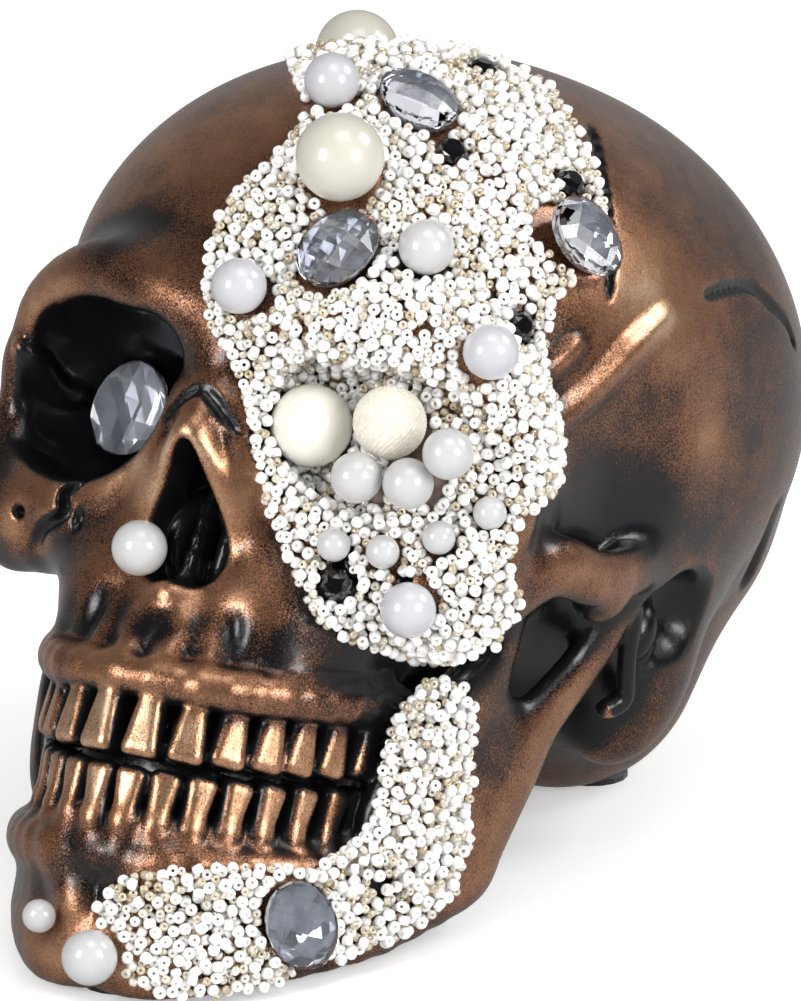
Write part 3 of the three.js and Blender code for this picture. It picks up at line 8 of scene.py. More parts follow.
import bmesh
import bpy
import numpy as np
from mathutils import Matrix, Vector


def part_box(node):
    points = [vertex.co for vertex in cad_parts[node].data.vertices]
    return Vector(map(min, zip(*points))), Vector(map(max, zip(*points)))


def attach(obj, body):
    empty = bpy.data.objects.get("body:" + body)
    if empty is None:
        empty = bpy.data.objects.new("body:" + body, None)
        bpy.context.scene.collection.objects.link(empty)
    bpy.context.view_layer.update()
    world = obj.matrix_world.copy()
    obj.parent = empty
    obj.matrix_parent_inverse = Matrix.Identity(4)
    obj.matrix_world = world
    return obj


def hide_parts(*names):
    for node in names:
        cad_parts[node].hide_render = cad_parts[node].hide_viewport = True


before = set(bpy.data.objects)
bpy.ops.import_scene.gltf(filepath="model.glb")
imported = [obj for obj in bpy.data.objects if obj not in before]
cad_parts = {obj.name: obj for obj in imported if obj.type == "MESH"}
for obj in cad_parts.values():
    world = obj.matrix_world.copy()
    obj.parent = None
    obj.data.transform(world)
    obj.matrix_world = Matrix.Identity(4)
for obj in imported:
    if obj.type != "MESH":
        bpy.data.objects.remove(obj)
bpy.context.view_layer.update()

# Sizes, in metres
HEAD_UNIT = 0.0854  # what one share of the casting's form tables measures
FACE_PITCH = math.radians(28.46)  # the face tips up this far when it rests
REST_LEVEL_SHARE = -0.545  # where the table lies below the ear line
PAD_HEIGHT = 0.0011  # felt pad and its glue film
CASTING_CELL = 0.0006
BEAD_WIDTHS = (0.00212, 0.00162)  # white and champagne
STONE_REACH = 0.004  # beads this far over or under a stone are clear of it
BUMP_DEPTH = 0.0002
PEARL_DEPTHS = (0.002, 0.0018, 0.0015)  # how deep red, green and blue light goes in
SUGAR_DEPTHS = (0.003, 0.002, 0.0012)

# Camera
PHOTO_SIZE = (801, 1001)
VIEW_AZIMUTH = math.radians(29.49)
VIEW_ELEVATION = math.radians(18.02)
PIXELS_PER_METRE = 491 / HEAD_UNIT
EAR_PIXELS = (398.08, 564.73)  # where the middle of the ear line shows
CAMERA_DISTANCE = 4.0
FARTHEST_SEEN = 30
SENSOR_MM = 36.0

# Floor and lights: each softbox stands at an azimuth and an elevation from the camera's, in degrees,
# and a distance, with its two sides, its watts and whether gloss mirrors it
FLOOR_HALF = 3
LIGHT_AIM = (0, 0, 0.08)
SOFTBOXES = {
    "softbox_left": (-46, 20, 0.9, (0.26, 0.36), 3.7, True),
    "softbox_right": (44, 20, 0.9, (0.26, 0.36), 3.7, True),
    "softbox_top": (20, 72, 1.0, (0.5, 0.5), 2, True),
    "softbox_side": (96, 38, 1.0, (0.35, 0.35), 3.4, True),
    "front_fill": (0, 12, 2.5, (1.2, 1.2), 11, False),
}

# The casting's forms, in shares of HEAD_UNIT from the middle of the ear line: x to each side, y to
# the back and z up from the eye-ear plane. A form with radii at one place is an ellipsoid, and one
# with points is a rod. Each is mirrored and melts into the rest by its blend.
BALL, ROD, CUT = "ball", "rod", "cut"
CASTING_SHARES = [
    # braincase
    (BALL, (0, 0.09, 0.43), (0.685, 0.765, 0.63), 0.05),
    (BALL, (0, -0.32, 0.41), (0.64, 0.62, 0.56), 0.18),
    (BALL, (0, 0.52, 0.25), (0.5, 0.37, 0.37), 0.1),
    (BALL, (0.14, 0.5, -0.02), (0.28, 0.33, 0.31), 0.1),
    (BALL, (0.24, 0.28, -0.06), (0.26, 0.26, 0.22), 0.08),
    (BALL, (0, 0.12, -0.02), (0.48, 0.5, 0.18), 0.1),
    (BALL, (0.4, 0.02, 0.12), (0.22, 0.4, 0.24), 0.1),
    # hollow of the temple
    (BALL, (0.8, -0.4, 0.14), (0.2, 0.26, 0.3), 0.1, CUT),
    # block behind the face
    (BALL, (0, -0.36, -0.03), (0.42, 0.4, 0.34), 0.08),
    (BALL, (0.37, -0.46, 0.1), (0.19, 0.25, 0.28), 0.08),
    (BALL, (0.52, -0.58, 0.1), (0.07, 0.14, 0.19), 0.04),
    (BALL, (0, -0.2, -0.36), (0.38, 0.3, 0.32), 0.08),
    # brow
    (ROD, ((0, -0.875, 0.29), (0.17, -0.895, 0.34), (0.36, -0.865, 0.36), (0.5, -0.765, 0.3),
           (0.56, -0.69, 0.19)), (0.085, 0.075, 0.06, 0.055, 0.045), (1, 1, 1), 0.08),
    # outer pillar of the eye socket, its lower rim and the cheek
    (ROD, ((0.56, -0.69, 0.19), (0.575, -0.655, 0.06), (0.54, -0.67, -0.06)),
     (0.042, 0.04, 0.07), (1, 1.3, 1), 0.03),
    (ROD, ((0.54, -0.67, -0.06), (0.43, -0.75, -0.075), (0.31, -0.79, -0.08),
           (0.2, -0.835, -0.04), (0.125, -0.87, 0.06), (0.1, -0.87, 0.2)),
     (0.06, 0.055, 0.05, 0.05, 0.045, 0.04), (1, 1, 1), 0.03),
    (BALL, (0.45, -0.65, -0.13), (0.13, 0.14, 0.1), 0.05),
    (BALL, (0.31, -0.68, -0.14), (0.12, 0.16, 0.09), 0.05),
    # cheek arch, the knob under it and the crest over the ear
    (ROD, ((0.53, -0.63, -0.145), (0.6, -0.5, -0.02), (0.625, -0.34, -0.005), (0.62, -0.2, 0.04),
           (0.6, -0.05, 0.1), (0.57, 0.15, 0.125), (0.52, 0.33, 0.1)),
     (0.085, 0.06, 0.052, 0.05, 0.045, 0.045, 0.03), (0.7, 1, 1), 0.04),
    (BALL, (0.595, -0.255, -0.03), (0.05, 0.06, 0.05), 0.03),
    # upper jaw
    (BALL, (0.18, -0.64, -0.22), (0.18, 0.23, 0.24), 0.07),
    (BALL, (0.13, -0.74, -0.27), (0.17, 0.17, 0.2), 0.05),
    (BALL, (0, -0.6, -0.38), (0.335, 0.33, 0.15), 0.06),
    (BALL, (0, -0.8, -0.36), (0.14, 0.15, 0.16), 0.05),
    # bridge of the nose, its flank and the thin rim of its opening
    (ROD, ((0, -0.875, 0.26), (0, -0.91, 0.17), (0, -0.975, 0.07)), (0.08, 0.055, 0.035),
     (1.1, 1, 1), 0.05),
    (ROD, ((0.045, -0.91, 0.13), (0.075, -0.9, 0.03), (0.095, -0.875, -0.05), (0.13, -0.835, -0.13),
           (0.16, -0.815, -0.215), (0.205, -0.8, -0.31), (0.245, -0.785, -0.38)),
     (0.045, 0.045, 0.045, 0.042, 0.042, 0.042, 0.04), (1, 1, 1), 0.04),
    (ROD, ((0, -0.985, 0.055), (0.045, -0.945, 0), (0.073, -0.895, -0.07), (0.092, -0.86, -0.15),
           (0.088, -0.85, -0.215), (0.05, -0.87, -0.262), (0, -0.915, -0.265)),
     (0.032, 0.026, 0.024, 0.024, 0.026, 0.028, 0.03), (1, 1, 1), 0.02),
    # eye socket, wide in front and closing to the back
    (BALL, (0.33, -0.84, 0.12), (0.215, 0.3, 0.175), 0.03, CUT, -12),
    (ROD, ((0.185, -0.88, 0.2), (0.43, -0.82, 0.185)), (0.085, 0.09), (1, 2, 1), 0.03, CUT),
    (BALL, (0.28, -0.6, 0.12), (0.13, 0.18, 0.12), 0.05, CUT),
    # nose opening, with the wall and the folds in it
    (ROD, ((0, -0.98, 0.025), (0.01, -0.94, -0.05), (0.027, -0.89, -0.13), (0.032, -0.88, -0.185)),
     (0.014, 0.032, 0.047, 0.052), (1, 3, 1), 0.012, CUT),
    (ROD, ((0, -0.77, 0), (0, -0.82, -0.1), (0, -0.84, -0.24)), (0.016, 0.012, 0.016),
     (1, 2.5, 1), 0.02),
    (ROD, ((0.045, -0.78, -0.04), (0.055, -0.79, -0.13), (0.045, -0.79, -0.21)),
     (0.016, 0.022, 0.016), (1, 2, 1), 0.02),
    # seams of the bridge
    (ROD, ((0, -0.985, 0.15), (0.04, -0.98, 0.12), (0.085, -0.955, 0.075)),
     (0.004, 0.007, 0.004), (1, 1, 1), 0.008, CUT),
    # gum edges over the upper and under the lower teeth
    (ROD, ((0, -0.965, -0.445), (0.18, -0.91, -0.435), (0.305, -0.735, -0.395),
           (0.335, -0.55, -0.355)), (0.036, 0.038, 0.042, 0.05), (1, 1, 1.1), 0.02),
    (ROD, ((0, -0.92, -0.795), (0.175, -0.86, -0.79), (0.295, -0.71, -0.76), (0.325, -0.54, -0.715)),
     (0.036, 0.038, 0.04, 0.045), (1, 1, 1.2), 0.03),
    # core of the mouth, behind the teeth
    (ROD, ((0, -0.8, -0.6), (0.1, -0.765, -0.6), (0.18, -0.64, -0.58), (0.2, -0.5, -0.54)),
     (0.075, 0.075, 0.075, 0.075), (1, 1, 2.2), 0.03),
    (BALL, (0, -0.48, -0.54), (0.24, 0.32, 0.22), 0.06),
    # body of the lower jaw
    (ROD, ((0, -0.835, -0.97), (0.12, -0.8, -0.975), (0.25, -0.65, -0.9), (0.37, -0.42, -0.77),
           (0.44, -0.25, -0.61)), (0.075, 0.075, 0.07, 0.065, 0.065), (0.9, 0.9, 1.1), 0.05),
    (ROD, ((0, -0.84, -0.86), (0.14, -0.79, -0.86), (0.26, -0.62, -0.8), (0.345, -0.42, -0.67)),
     (0.065, 0.065, 0.065, 0.065), (0.9, 0.9, 1.2), 0.06),
    (ROD, ((0.12, -0.895, -0.79), (0.085, -0.885, -0.84), (0.05, -0.885, -0.91)),
     (0.03, 0.032, 0.03), (1, 1, 1), 0.04),
    # rising branch of the jaw: rear edge with its neck, front edge, and the plate between
    (ROD, ((0.45, -0.25, -0.6), (0.475, -0.21, -0.42), (0.485, -0.17, -0.29), (0.51, -0.1, -0.16),
           (0.535, -0.075, -0.06)), (0.07, 0.065, 0.06, 0.05, 0.055), (0.55, 1, 1), 0.03),
    (ROD, ((0.4, -0.42, -0.6), (0.445, -0.37, -0.35), (0.465, -0.34, -0.13)),
     (0.08, 0.065, 0.04), (0.5, 1, 1), 0.04),
    (ROD, ((0.43, -0.31, -0.57), (0.465, -0.27, -0.38)), (0.13, 0.09), (0.35, 1, 1), 0.04),
    (ROD, ((0.44, -0.44, -0.3), (0.41, -0.49, -0.42), (0.375, -0.5, -0.58)),
     (0.06, 0.075, 0.085), (0.55, 1, 1), 0.05),
    # mass behind the ear
    (BALL, (0.435, 0.22, -0.08), (0.135, 0.16, 0.22), 0.07),
    # ear hollow, with the bulb and the thin crest that stand in it
    (BALL, (0.62, 0.09, 0), (0.1, 0.125, 0.1), 0.03, CUT),
    (BALL, (0.6, 0.05, -0.1), (0.08, 0.08, 0.14), 0.03, CUT),
    (BALL, (0.515, 0.085, -0.035), (0.05, 0.045, 0.07), 0.015),
    (ROD, ((0.55, -0.036, 0.02), (0.56, -0.016, -0.02), (0.555, 0.01, -0.1), (0.54, 0.064, -0.18),
           (0.52, 0.03, -0.215)), (0.016, 0.014, 0.014, 0.016, 0.014), (1, 1, 1), 0.012),
    # hollows and cracks of the cheek and of the upper jaw
    (BALL, (0.446, -0.82, -0.136), (0.014, 0.05, 0.014), 0.01, CUT),
    (BALL, (0.278, -0.875, -0.139), (0.014, 0.04, 0.03), 0.01, CUT),
    (ROD, ((0.28, -0.86, -0.05), (0.325, -0.85, -0.09), (0.32, -0.85, -0.135),
           (0.38, -0.82, -0.165), (0.43, -0.77, -0.225)),
     (0.005, 0.008, 0.006, 0.008, 0.006), (1, 2.5, 1), 0.01, CUT),
    (BALL, (0.045, -0.965, -0.34), (0.02, 0.025, 0.035), 0.03, CUT),
    (BALL, (0.155, -0.925, -0.32), (0.02, 0.025, 0.04), 0.03, CUT),
    # groove of the temple and the two lines of its muscle
    (ROD, ((0.377, -0.343, 0.901), (0.475, -0.433, 0.79), (0.55, -0.484, 0.664),
           (0.593, -0.507, 0.539)), (0.006, 0.007, 0.007, 0.005), (1, 1, 1), 0.009, CUT),
    (ROD, ((0.545, -0.56, 0.256), (0.583, -0.5, 0.348), (0.616, -0.43, 0.453),
           (0.624, -0.328, 0.55)), (0.03, 0.034, 0.034, 0.026), (1, 1, 1), 0.014),
    (ROD, ((0.535, -0.625, 0.34), (0.556, -0.6, 0.382), (0.576, -0.57, 0.424)),
     (0.018, 0.022, 0.016), (1, 1, 1), 0.012),
    # ledge at the back of the open eye socket
    (ROD, ((0.55, -0.765, 0.2), (0.527, -0.724, 0.182), (0.505, -0.638, 0.142),
           (0.47, -0.598, 0.147)), (0.014, 0.018, 0.02, 0.014), (1, 1, 1), 0.015),
    # seam behind the temple, and the nape's crease
    (ROD, ((0.639, -0.188, 0.624), (0.633, -0.092, 0.66), (0.625, 0.017, 0.687),
           (0.63, 0.111, 0.677), (0.632, 0.198, 0.657), (0.638, 0.249, 0.621)),
     (0.005, 0.008, 0.006, 0.009, 0.006, 0.006), (1, 1, 1), 0.008, CUT),
    (ROD, ((0.618, 0.382, 0.301), (0.561, 0.471, 0.236), (0.516, 0.527, 0.168)),
     (0.012, 0.016, 0.012), (1, 1, 1), 0.03, CUT),
]

# Teeth stand along an arch, a quarter of an ellipse on each side of the middle
UPPER_ARCH_SHARES = {"width": 0.36, "depth": 0.62, "front": -0.96, "level": -0.525, "drop": 0.083}
LOWER_ARCH_SHARES = {"width": 0.34, "depth": 0.6, "front": -0.935, "level": -0.682, "drop": 0.062}
UPPER_TOOTH_SHARES = (0.092, 0.08, 0.082, 0.074, 0.07, 0.088, 0.088)
LOWER_TOOTH_SHARES = (0.064, 0.066, 0.072, 0.072, 0.074, 0.082, 0.078, 0.06)
TOOTH_SHARES = {"root": 0.023, "upper": 0.043, "lower": 0.036, "thick": 0.038, "root_thick": 0.0285,
                "round": 0.022, "blend": 0.006}
# Each tooth's root swells the gum beyond it
ROOT_SHARES = {"upper": 0.13, "lower": 0.08, "swell": 0.032, "tip": 0.012, "lean": 0.035,
               "blend": 0.03}
BITE_SLOPE_SHARE = 0.22  # how much the arches rise towards their back
ARCH_STEPS = 601
PATH_STEPS = 4

# The box that holds half of the head, what counts as far away, and how far a form is reckoned
BOX_SHARES = ((0, -1.12, -1.12), (0.74, 0.96, 1.12))
FAR_SHARE = 1.0
FORM_REACH_SHARE = 0.12
BLEND_REACH_SHARE = 0.03
ROD_BLEND_SHARE = 0.02


def melt(a, b, blend):
    """Blended union of two distances."""
    mix = np.clip(0.5 + 0.5 * (b - a) / blend, 0, 1)
    return b + (a - b) * mix - blend * mix * (1 - mix)


def ball_form(at, radii, turn=0):
    cos, sin = math.cos(math.radians(turn)), math.sin(math.radians(turn))
    reach = (max(radii),) * 3 if turn else radii

    def distance(x, y, z):
        dx, dy, dz = x - at[0], y - at[1], z - at[2]
        px = (dx * cos + dy * sin) / radii[0]
        py = (dy * cos - dx * sin) / radii[1]
        pz = dz / radii[2]
        near = np.sqrt(px * px + py * py + pz * pz)
        slope = np.sqrt((px / radii[0]) ** 2 + (py / radii[1]) ** 2 + (pz / radii[2]) ** 2)
        return near * (near - 1) / np.maximum(slope, 1e-6)

    low = [c - r for c, r in zip(at, reach)]
    high = [c + r for c, r in zip(at, reach)]
    return low, high, distance


def smooth_path(points):
    """Catmull-Rom steps between points of any length."""
    points = np.array(points, float)
    if len(points) < 3:
        return points
    path = []
    for i in range(len(points) - 1):
        before, start = points[max(i - 1, 0)], points[i]
        end, after = points[i + 1], points[min(i + 2, len(points) - 1)]
        for t in np.arange(PATH_STEPS) / PATH_STEPS:
            bend = 2 * before - 5 * start + 4 * end - after
            twist = 3 * start - before - 3 * end + after
            path.append(0.5 * (2 * start + (end - before) * t + bend * t ** 2 + twist * t ** 3))
    return np.array(path + [points[-1]])


def rod_form(points, radii, squash):
    joints = smooth_path([(*p, r) for p, r in zip(points, radii)])
    squash = np.array(squash, float)
    places, widths = joints[:, :3] / squash, joints[:, 3]

    def distance(x, y, z):
        px, py, pz = x / squash[0], y / squash[1], z / squash[2]
        best = None
        for a, b, ra, rb in zip(places, places[1:], widths, widths[1:]):
            ba = b - a
            along = ((px - a[0]) * ba[0] + (py - a[1]) * ba[1] + (pz - a[2]) * ba[2]) / (ba @ ba)
            t = np.clip(along, 0, 1)
            gap = (px - a[0] - t * ba[0]) ** 2 + (py - a[1] - t * ba[1]) ** 2
            gap = np.sqrt(gap + (pz - a[2] - t * ba[2]) ** 2) - ra - (rb - ra) * t
            best = gap if best is None else melt(gap, best, ROD_BLEND_SHARE)
        return best * squash.min()

    reach = widths.max() * squash
    return joints[:, :3].min(0) - reach, joints[:, :3].max(0) + reach, distance


def tooth_form(at, angle, flip, edge_half, half_height):
    """A rounded block, wide at its biting edge and narrow at its root."""
    s = TOOTH_SHARES
    cos, sin = math.cos(angle), math.sin(angle)
    reach = math.hypot(edge_half, s["thick"], half_height)

    def distance(x, y, z):
        dx, dy = x - at[0], y - at[1]
        rise = (z - at[2]) * flip
        to_edge = np.clip(0.5 - rise / (2 * half_height), 0, 1)
        half = s["root"] + (edge_half - s["root"]) * to_edge
        deep = s["root_thick"] + (s["thick"] - s["root_thick"]) * to_edge
        ax = np.abs(dx * cos + dy * sin) - half + s["round"]
        ay = np.abs(dy * cos - dx * sin) - deep + s["round"]
        az = np.abs(rise) - half_height + s["round"]
        outside = np.maximum(ax, 0) ** 2 + np.maximum(ay, 0) ** 2 + np.maximum(az, 0) ** 2
        return np.sqrt(outside) + np.minimum(np.maximum(np.maximum(ax, ay), az), 0) - s["round"]

    return [c - reach for c in at], [c + reach for c in at], distance


def tooth_row(arch, pitches, edge_half, root, flip):
    """Walk an arch of teeth by their pitches."""
    t = np.linspace(0, math.pi / 2, ARCH_STEPS)
    x = arch["width"] * np.sin(t)
    back = arch["depth"] * (1 - np.cos(t))
    walked = np.concatenate([[0], np.cumsum(np.hypot(np.diff(x), np.diff(back)))])
    forms = []
    for end, pitch in zip(np.cumsum(pitches), pitches):
        at = np.interp(end - pitch / 2, walked, t)
        behind = arch["depth"] * (1 - math.cos(at))
        place = (arch["width"] * math.sin(at), arch["front"] + behind,
                 arch["level"] + BITE_SLOPE_SHARE * behind)
        angle = math.atan2(arch["depth"] * math.sin(at), arch["width"] * math.cos(at))
        forms.append((*tooth_form(place, angle, flip, edge_half, arch["drop"]), TOOTH_SHARES["blend"]))
        forms.append((*root_form(place, flip, arch["drop"], root), ROOT_SHARES["blend"]))
    return forms


def root_form(place, flip, drop, length):
    """The swelling of the gum over a root, which leans back from the tooth."""
    x, y, z = place
    start = (x, y, z + flip * drop)
    lean = 1 - ROOT_SHARES["lean"] / math.hypot(x, y)
    end = (x * lean, y * lean, z + flip * (drop + length))
    return rod_form((start, end), (ROOT_SHARES["swell"], ROOT_SHARES["tip"]), (1, 1, 1))


def casting_forms():
    forms = []
    for share in CASTING_SHARES:
        if share[0] == BALL:
            _, at, radii, blend, *rest = share
            turn = rest[1] if len(rest) > 1 else 0
            forms.append((*ball_form(at, radii, turn), blend, CUT in rest))
        else:
            _, points, radii, squash, blend, *rest = share
            forms.append((*rod_form(points, radii, squash), blend, CUT in rest))
    teeth = tooth_row(UPPER_ARCH_SHARES, UPPER_TOOTH_SHARES, TOOTH_SHARES["upper"],
                      ROOT_SHARES["upper"], 1)
    teeth += tooth_row(LOWER_ARCH_SHARES, LOWER_TOOTH_SHARES, TOOTH_SHARES["lower"],
                       ROOT_SHARES["lower"], -1)
    return forms + [(*tooth, False) for tooth in teeth]


FORMS = casting_forms()


def casting_grid(low, high, cell):
    """The casting's distances on a grid of one half of the head."""
    axes = [np.arange(l, h + cell, cell) for l, h in zip(low, high)]
    values = np.full([len(a) for a in axes], FAR_SHARE, np.float32)
    for form_low, form_high, distance, blend, cut in FORMS:
        pad = max(blend + BLEND_REACH_SHARE, FORM_REACH_SHARE)
        window = tuple(
            slice(*np.searchsorted(axis, (form_low[i] - pad, form_high[i] + pad)))
            for i, axis in enumerate(axes))
        x, y, z = np.meshgrid(*(a[w] for a, w in zip(axes, window)), indexing="ij", sparse=True)
        form = distance(x, y, z)
        before = values[window]
        values[window] = -melt(-before, form, blend) if cut else melt(before, form, blend)
    return axes, values


def surface_nets(values, low, cell):
    """One corner in each cell that the surface crosses and one quad over each crossed step."""
    inside = values < 0
    corners = list(product((0, 1), repeat=3))
    shape = np.array(values.shape) - 1

    def window(array, corner):
        return array[tuple(slice(c, c + n) for c, n in zip(corner, shape))]

    total = sum(window(inside, c).astype(np.int8) for c in corners)
    cells = np.argwhere((total > 0) & (total < 8))
    number = np.full(shape, -1, np.int32)
    number[tuple(cells.T)] = np.arange(len(cells))
    total_place = np.zeros((len(cells), 3))
    crossings = np.zeros(len(cells))
    for corner in corners:
        for axis in range(3):
            if corner[axis]:
                continue
            other = tuple(c + (a == axis) for a, c in enumerate(corner))
            v0 = values[tuple((cells + corner).T)].astype(float)
            v1 = values[tuple((cells + other).T)].astype(float)
            crossed = (v0 < 0) != (v1 < 0)
            t = np.where(crossed, v0 / np.where(crossed, v0 - v1, 1), 0)
            place = np.array(corner, float)[None] + t[:, None] * np.eye(3)[axis]
            total_place += place * crossed[:, None]
            crossings += crossed
    places = low + (cells + total_place / crossings[:, None]) * cell
    quads = []
    step = np.eye(3, dtype=int)
    for axis in range(3):
        second, third = (axis + 1) % 3, (axis + 2) % 3
        crossed = np.argwhere(inside != np.roll(inside, -1, axis))
        room = (crossed < shape).all(1) & (crossed[:, [second, third]] > 0).all(1)
        crossed = crossed[room]
        ring = [crossed, crossed - step[second], crossed - step[second] - step[third],
                crossed - step[third]]
        quad = np.stack([number[tuple(r.T)] for r in ring], 1)
        flip = ~inside[tuple(crossed.T)]
        quad[flip] = quad[flip][:, ::-1]
        quads.append(quad)
    return places, np.concatenate(quads)


def largest_body(places, quads):
    """Leave sealed bubbles and crumbs out."""
    label = np.arange(len(places))
    while True:
        least = label[quads].min(1)
        spread = label.copy()
        np.minimum.at(spread, quads.ravel(), np.repeat(least, 4))
        spread = spread[spread]
        if np.array_equal(spread, label):
            break
        label = spread
    kept = label == np.bincount(label).argmax()
    renumber = np.cumsum(kept) - 1
    return places[kept], renumber[quads[kept[quads[:, 0]]]]


# Head frame to the resting frame
pad_low, pad_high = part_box("felt_pad_left")
PAD_PLACE_SHARES = (0.19, 0.47)
SHIFT = np.array([
    (pad_low.x + pad_high.x) / 2 - PAD_PLACE_SHARES[0] * HEAD_UNIT,
    (pad_low.y + pad_high.y) / 2 - PAD_PLACE_SHARES[1] * HEAD_UNIT,
    PAD_HEIGHT - REST_LEVEL_SHARE * HEAD_UNIT,
])
PITCH = np.array([
    (1, 0, 0),
    (0, math.cos(FACE_PITCH), math.sin(FACE_PITCH)),
    (0, -math.sin(FACE_PITCH), math.cos(FACE_PITCH)),
])


def to_rest(shares):
    return np.asarray(shares) @ PITCH.T * HEAD_UNIT + SHIFT


def to_head(places):
    return (np.asarray(places) - SHIFT) / HEAD_UNIT @ PITCH


class Field:
    """The casting's distances, read between the steps of its grid."""

    def __init__(self, cell):
        self.low = np.array(BOX_SHARES[0], float)
        self.cell = cell
        self.axes, self.values = casting_grid(*BOX_SHARES, cell)

    def at(self, shares):
        shares = np.array(shares, float)
        shares[:, 0] = np.abs(shares[:, 0])
        spot = (shares - self.low) / self.cell
        most = np.array(self.values.shape) - 1.001
        nearest = np.clip(spot, 0, most)
        base = nearest.astype(int)
        part = nearest - base
        total = np.linalg.norm(spot - nearest, axis=1) * self.cell
        for corner in product((0, 1), repeat=3):
            weight = np.where(corner, part, 1 - part).prod(1)
            total += weight * self.values[tuple((base + corner).T)]
        return total


def slope_of(distance, shares, reach):
    """Which way a distance grows."""
    slope = np.stack([
        distance(shares + step) - distance(shares - step) for step in np.eye(3) * reach], 1)
    return slope / np.maximum(np.linalg.norm(slope, axis=1, keepdims=True), 1e-9)


field = Field(CASTING_CELL / HEAD_UNIT)


def mesh_object(name, places, faces, materials, smooth=True):
    mesh = bpy.data.meshes.new(name)
    mesh.from_pydata(np.asarray(places).tolist(), [], [tuple(map(int, face)) for face in faces])
    mesh.update()
    for material in materials:
        mesh.materials.append(material)
    mesh.polygons.foreach_set("use_smooth", [smooth] * len(mesh.polygons))
    obj = bpy.data.objects.new(name, mesh)
    bpy.context.scene.collection.objects.link(obj)
    return obj


def add_attribute(mesh, name, values):
    attribute = mesh.attributes.new(name, "FLOAT", "POINT")
    attribute.data.foreach_set("value", np.asarray(values, np.float32))


# Materials
class Shading:
    """The nodes that lead to the shader of a material or of the world."""

    def __init__(self, owner, shader="Principled BSDF"):
        owner.use_nodes = True
        self.nodes, self.links = owner.node_tree.nodes, owner.node_tree.links
        self.shader = self.nodes[shader]

    def put(self, sockets, values):
        """Set sockets by name or number, or link an output to them."""
        for key, value in values.items():
            if isinstance(value, bpy.types.NodeSocket):
                self.links.new(value, sockets[key])
            else:
                sockets[key].default_value = value

    def look(self, values):
        self.put(self.shader.inputs, values)

    def node(self, kind, inputs, **settings):
        made = self.nodes.new("ShaderNode" + kind)
        for key, value in settings.items():
            setattr(made, key, value)
        self.put(made.inputs, inputs)
        return made.outputs

    def noise(self, scale, detail=3.0, roughness=0.55):
        place = self.node("TexCoord", {})["Object"]
        inputs = {"Vector": place, "Scale": scale, "Detail": detail, "Roughness": roughness}
        return self.node("TexNoise", inputs)["Fac"]

    def attribute(self, name):
        return self.node("Attribute", {}, attribute_name=name)["Fac"]

    def math(self, operation, a, b=0.0, c=0.0, clamp=False):
        inputs = {0: a, 1: b, 2: c}
        return self.node("Math", inputs, operation=operation, use_clamp=clamp)["Value"]

    def sway(self, value, noise, weight):
        """Move a value by a noise, to either side of the noise's middle."""
        return self.math("MULTIPLY_ADD", self.math("SUBTRACT", noise, 0.5), weight, value)

    def ramp(self, factor, stops):
        made = self.nodes.new("ShaderNodeValToRGB")
        while len(made.color_ramp.elements) < len(stops):
            made.color_ramp.elements.new(0.5)
        for element, (position, colour) in zip(made.color_ramp.elements, stops):
            element.position = position
            element.color = (*colour, 1)
        self.links.new(factor, made.inputs["Fac"])
        return made.outputs["Color"]

    def bump(self, height, strength):
        inputs = {"Height": height, "Strength": strength, "Distance": BUMP_DEPTH}
        return self.node("Bump", inputs)["Normal"]


def new_material(name):
    material = bpy.data.materials.new(name)
    return material, Shading(material)


# How much copper the brush lays: at least, by what stands out, by what lies low and by two noises
COVER = {"least": 0.43, "ridge": 0.65, "hollow": -1.9, "patches": 0.75, "mottle": 0.45}
LACQUER = (0.006, 0.006, 0.007, 1)
COPPER_TONES = ((0.2, (0.10, 0.045, 0.025)), (0.5, (0.34, 0.155, 0.082)),
                (0.8, (0.62, 0.33, 0.185)), (1.0, (0.94, 0.66, 0.44)))


def copper_on_black():
    """Gloss black lacquer, dry-brushed with copper that catches on what stands out."""
    material, paint = new_material("copper_on_black")
    mottle = paint.noise(150, 3.0, 0.6)
    speckle = paint.noise(3000, 2.0, 0.7)
    cover = paint.math("MULTIPLY_ADD", paint.attribute("ridge"), COVER["ridge"], COVER["least"])
    # The attribute read next adds or takes copper by place, partly as painted highlight and painted
    # shade
    cover = paint.math("ADD", paint.attribute("brush_and_painted_light"), cover)
    cover = paint.math("MULTIPLY_ADD", paint.attribute("hollow"), COVER["hollow"], cover)
    cover = paint.sway(cover, paint.noise(26), COVER["patches"])
    cover = paint.sway(cover, mottle, COVER["mottle"])
    copper = paint.ramp(paint.sway(cover, speckle, 2.0), [(0.2, (0, 0, 0)), (0.58, (1, 1, 1))])
    tone = paint.ramp(paint.sway(cover, speckle, 0.8), COPPER_TONES)
    mix = paint.nodes.new("ShaderNodeMix")
    mix.data_type = "RGBA"
    paint.put(mix.inputs, {"Factor": copper})
    paint.put([s for s in mix.inputs if s.type == "RGBA"], {0: LACQUER, 1: tone})
    paint.look({
        "Base Color": next(s for s in mix.outputs if s.type == "RGBA"),
        "Metallic": paint.math("MULTIPLY", copper, 0.9),
        "Roughness": paint.math("MULTIPLY_ADD", copper, 0.17, 0.11),
        "Specular IOR Level": 0.35,
        "Coat Weight": 0.3,
        "Coat Roughness": 0.12,
        "Normal": paint.bump(paint.math("MULTIPLY_ADD", mottle, 1.5, speckle), 0.4),
    })
    return material


def pearl_material(name, colour, rim_shade_colour):
    """Imitation pearl: a pale body under a clear coat, with its colour darkened towards its rim as
    painted shade.
    """
    material, paint = new_material("pearl_" + name)
    facing = paint.node("LayerWeight", {"Blend": 0.35})["Facing"]
    factor = paint.math("MULTIPLY_ADD", paint.noise(260, 2.0), 0.14, facing)
    paint.look({
        "Base Color": paint.ramp(factor, [(0.05, colour), (0.95, rim_shade_colour)]),
        "Roughness": 0.32,
        "Coat Weight": 1.0,
        "Coat Roughness": 0.1,
        "Subsurface Weight": 0.1,
        "Subsurface Radius": PEARL_DEPTHS,
        "Sheen Weight": 0.15,
    })
    return material


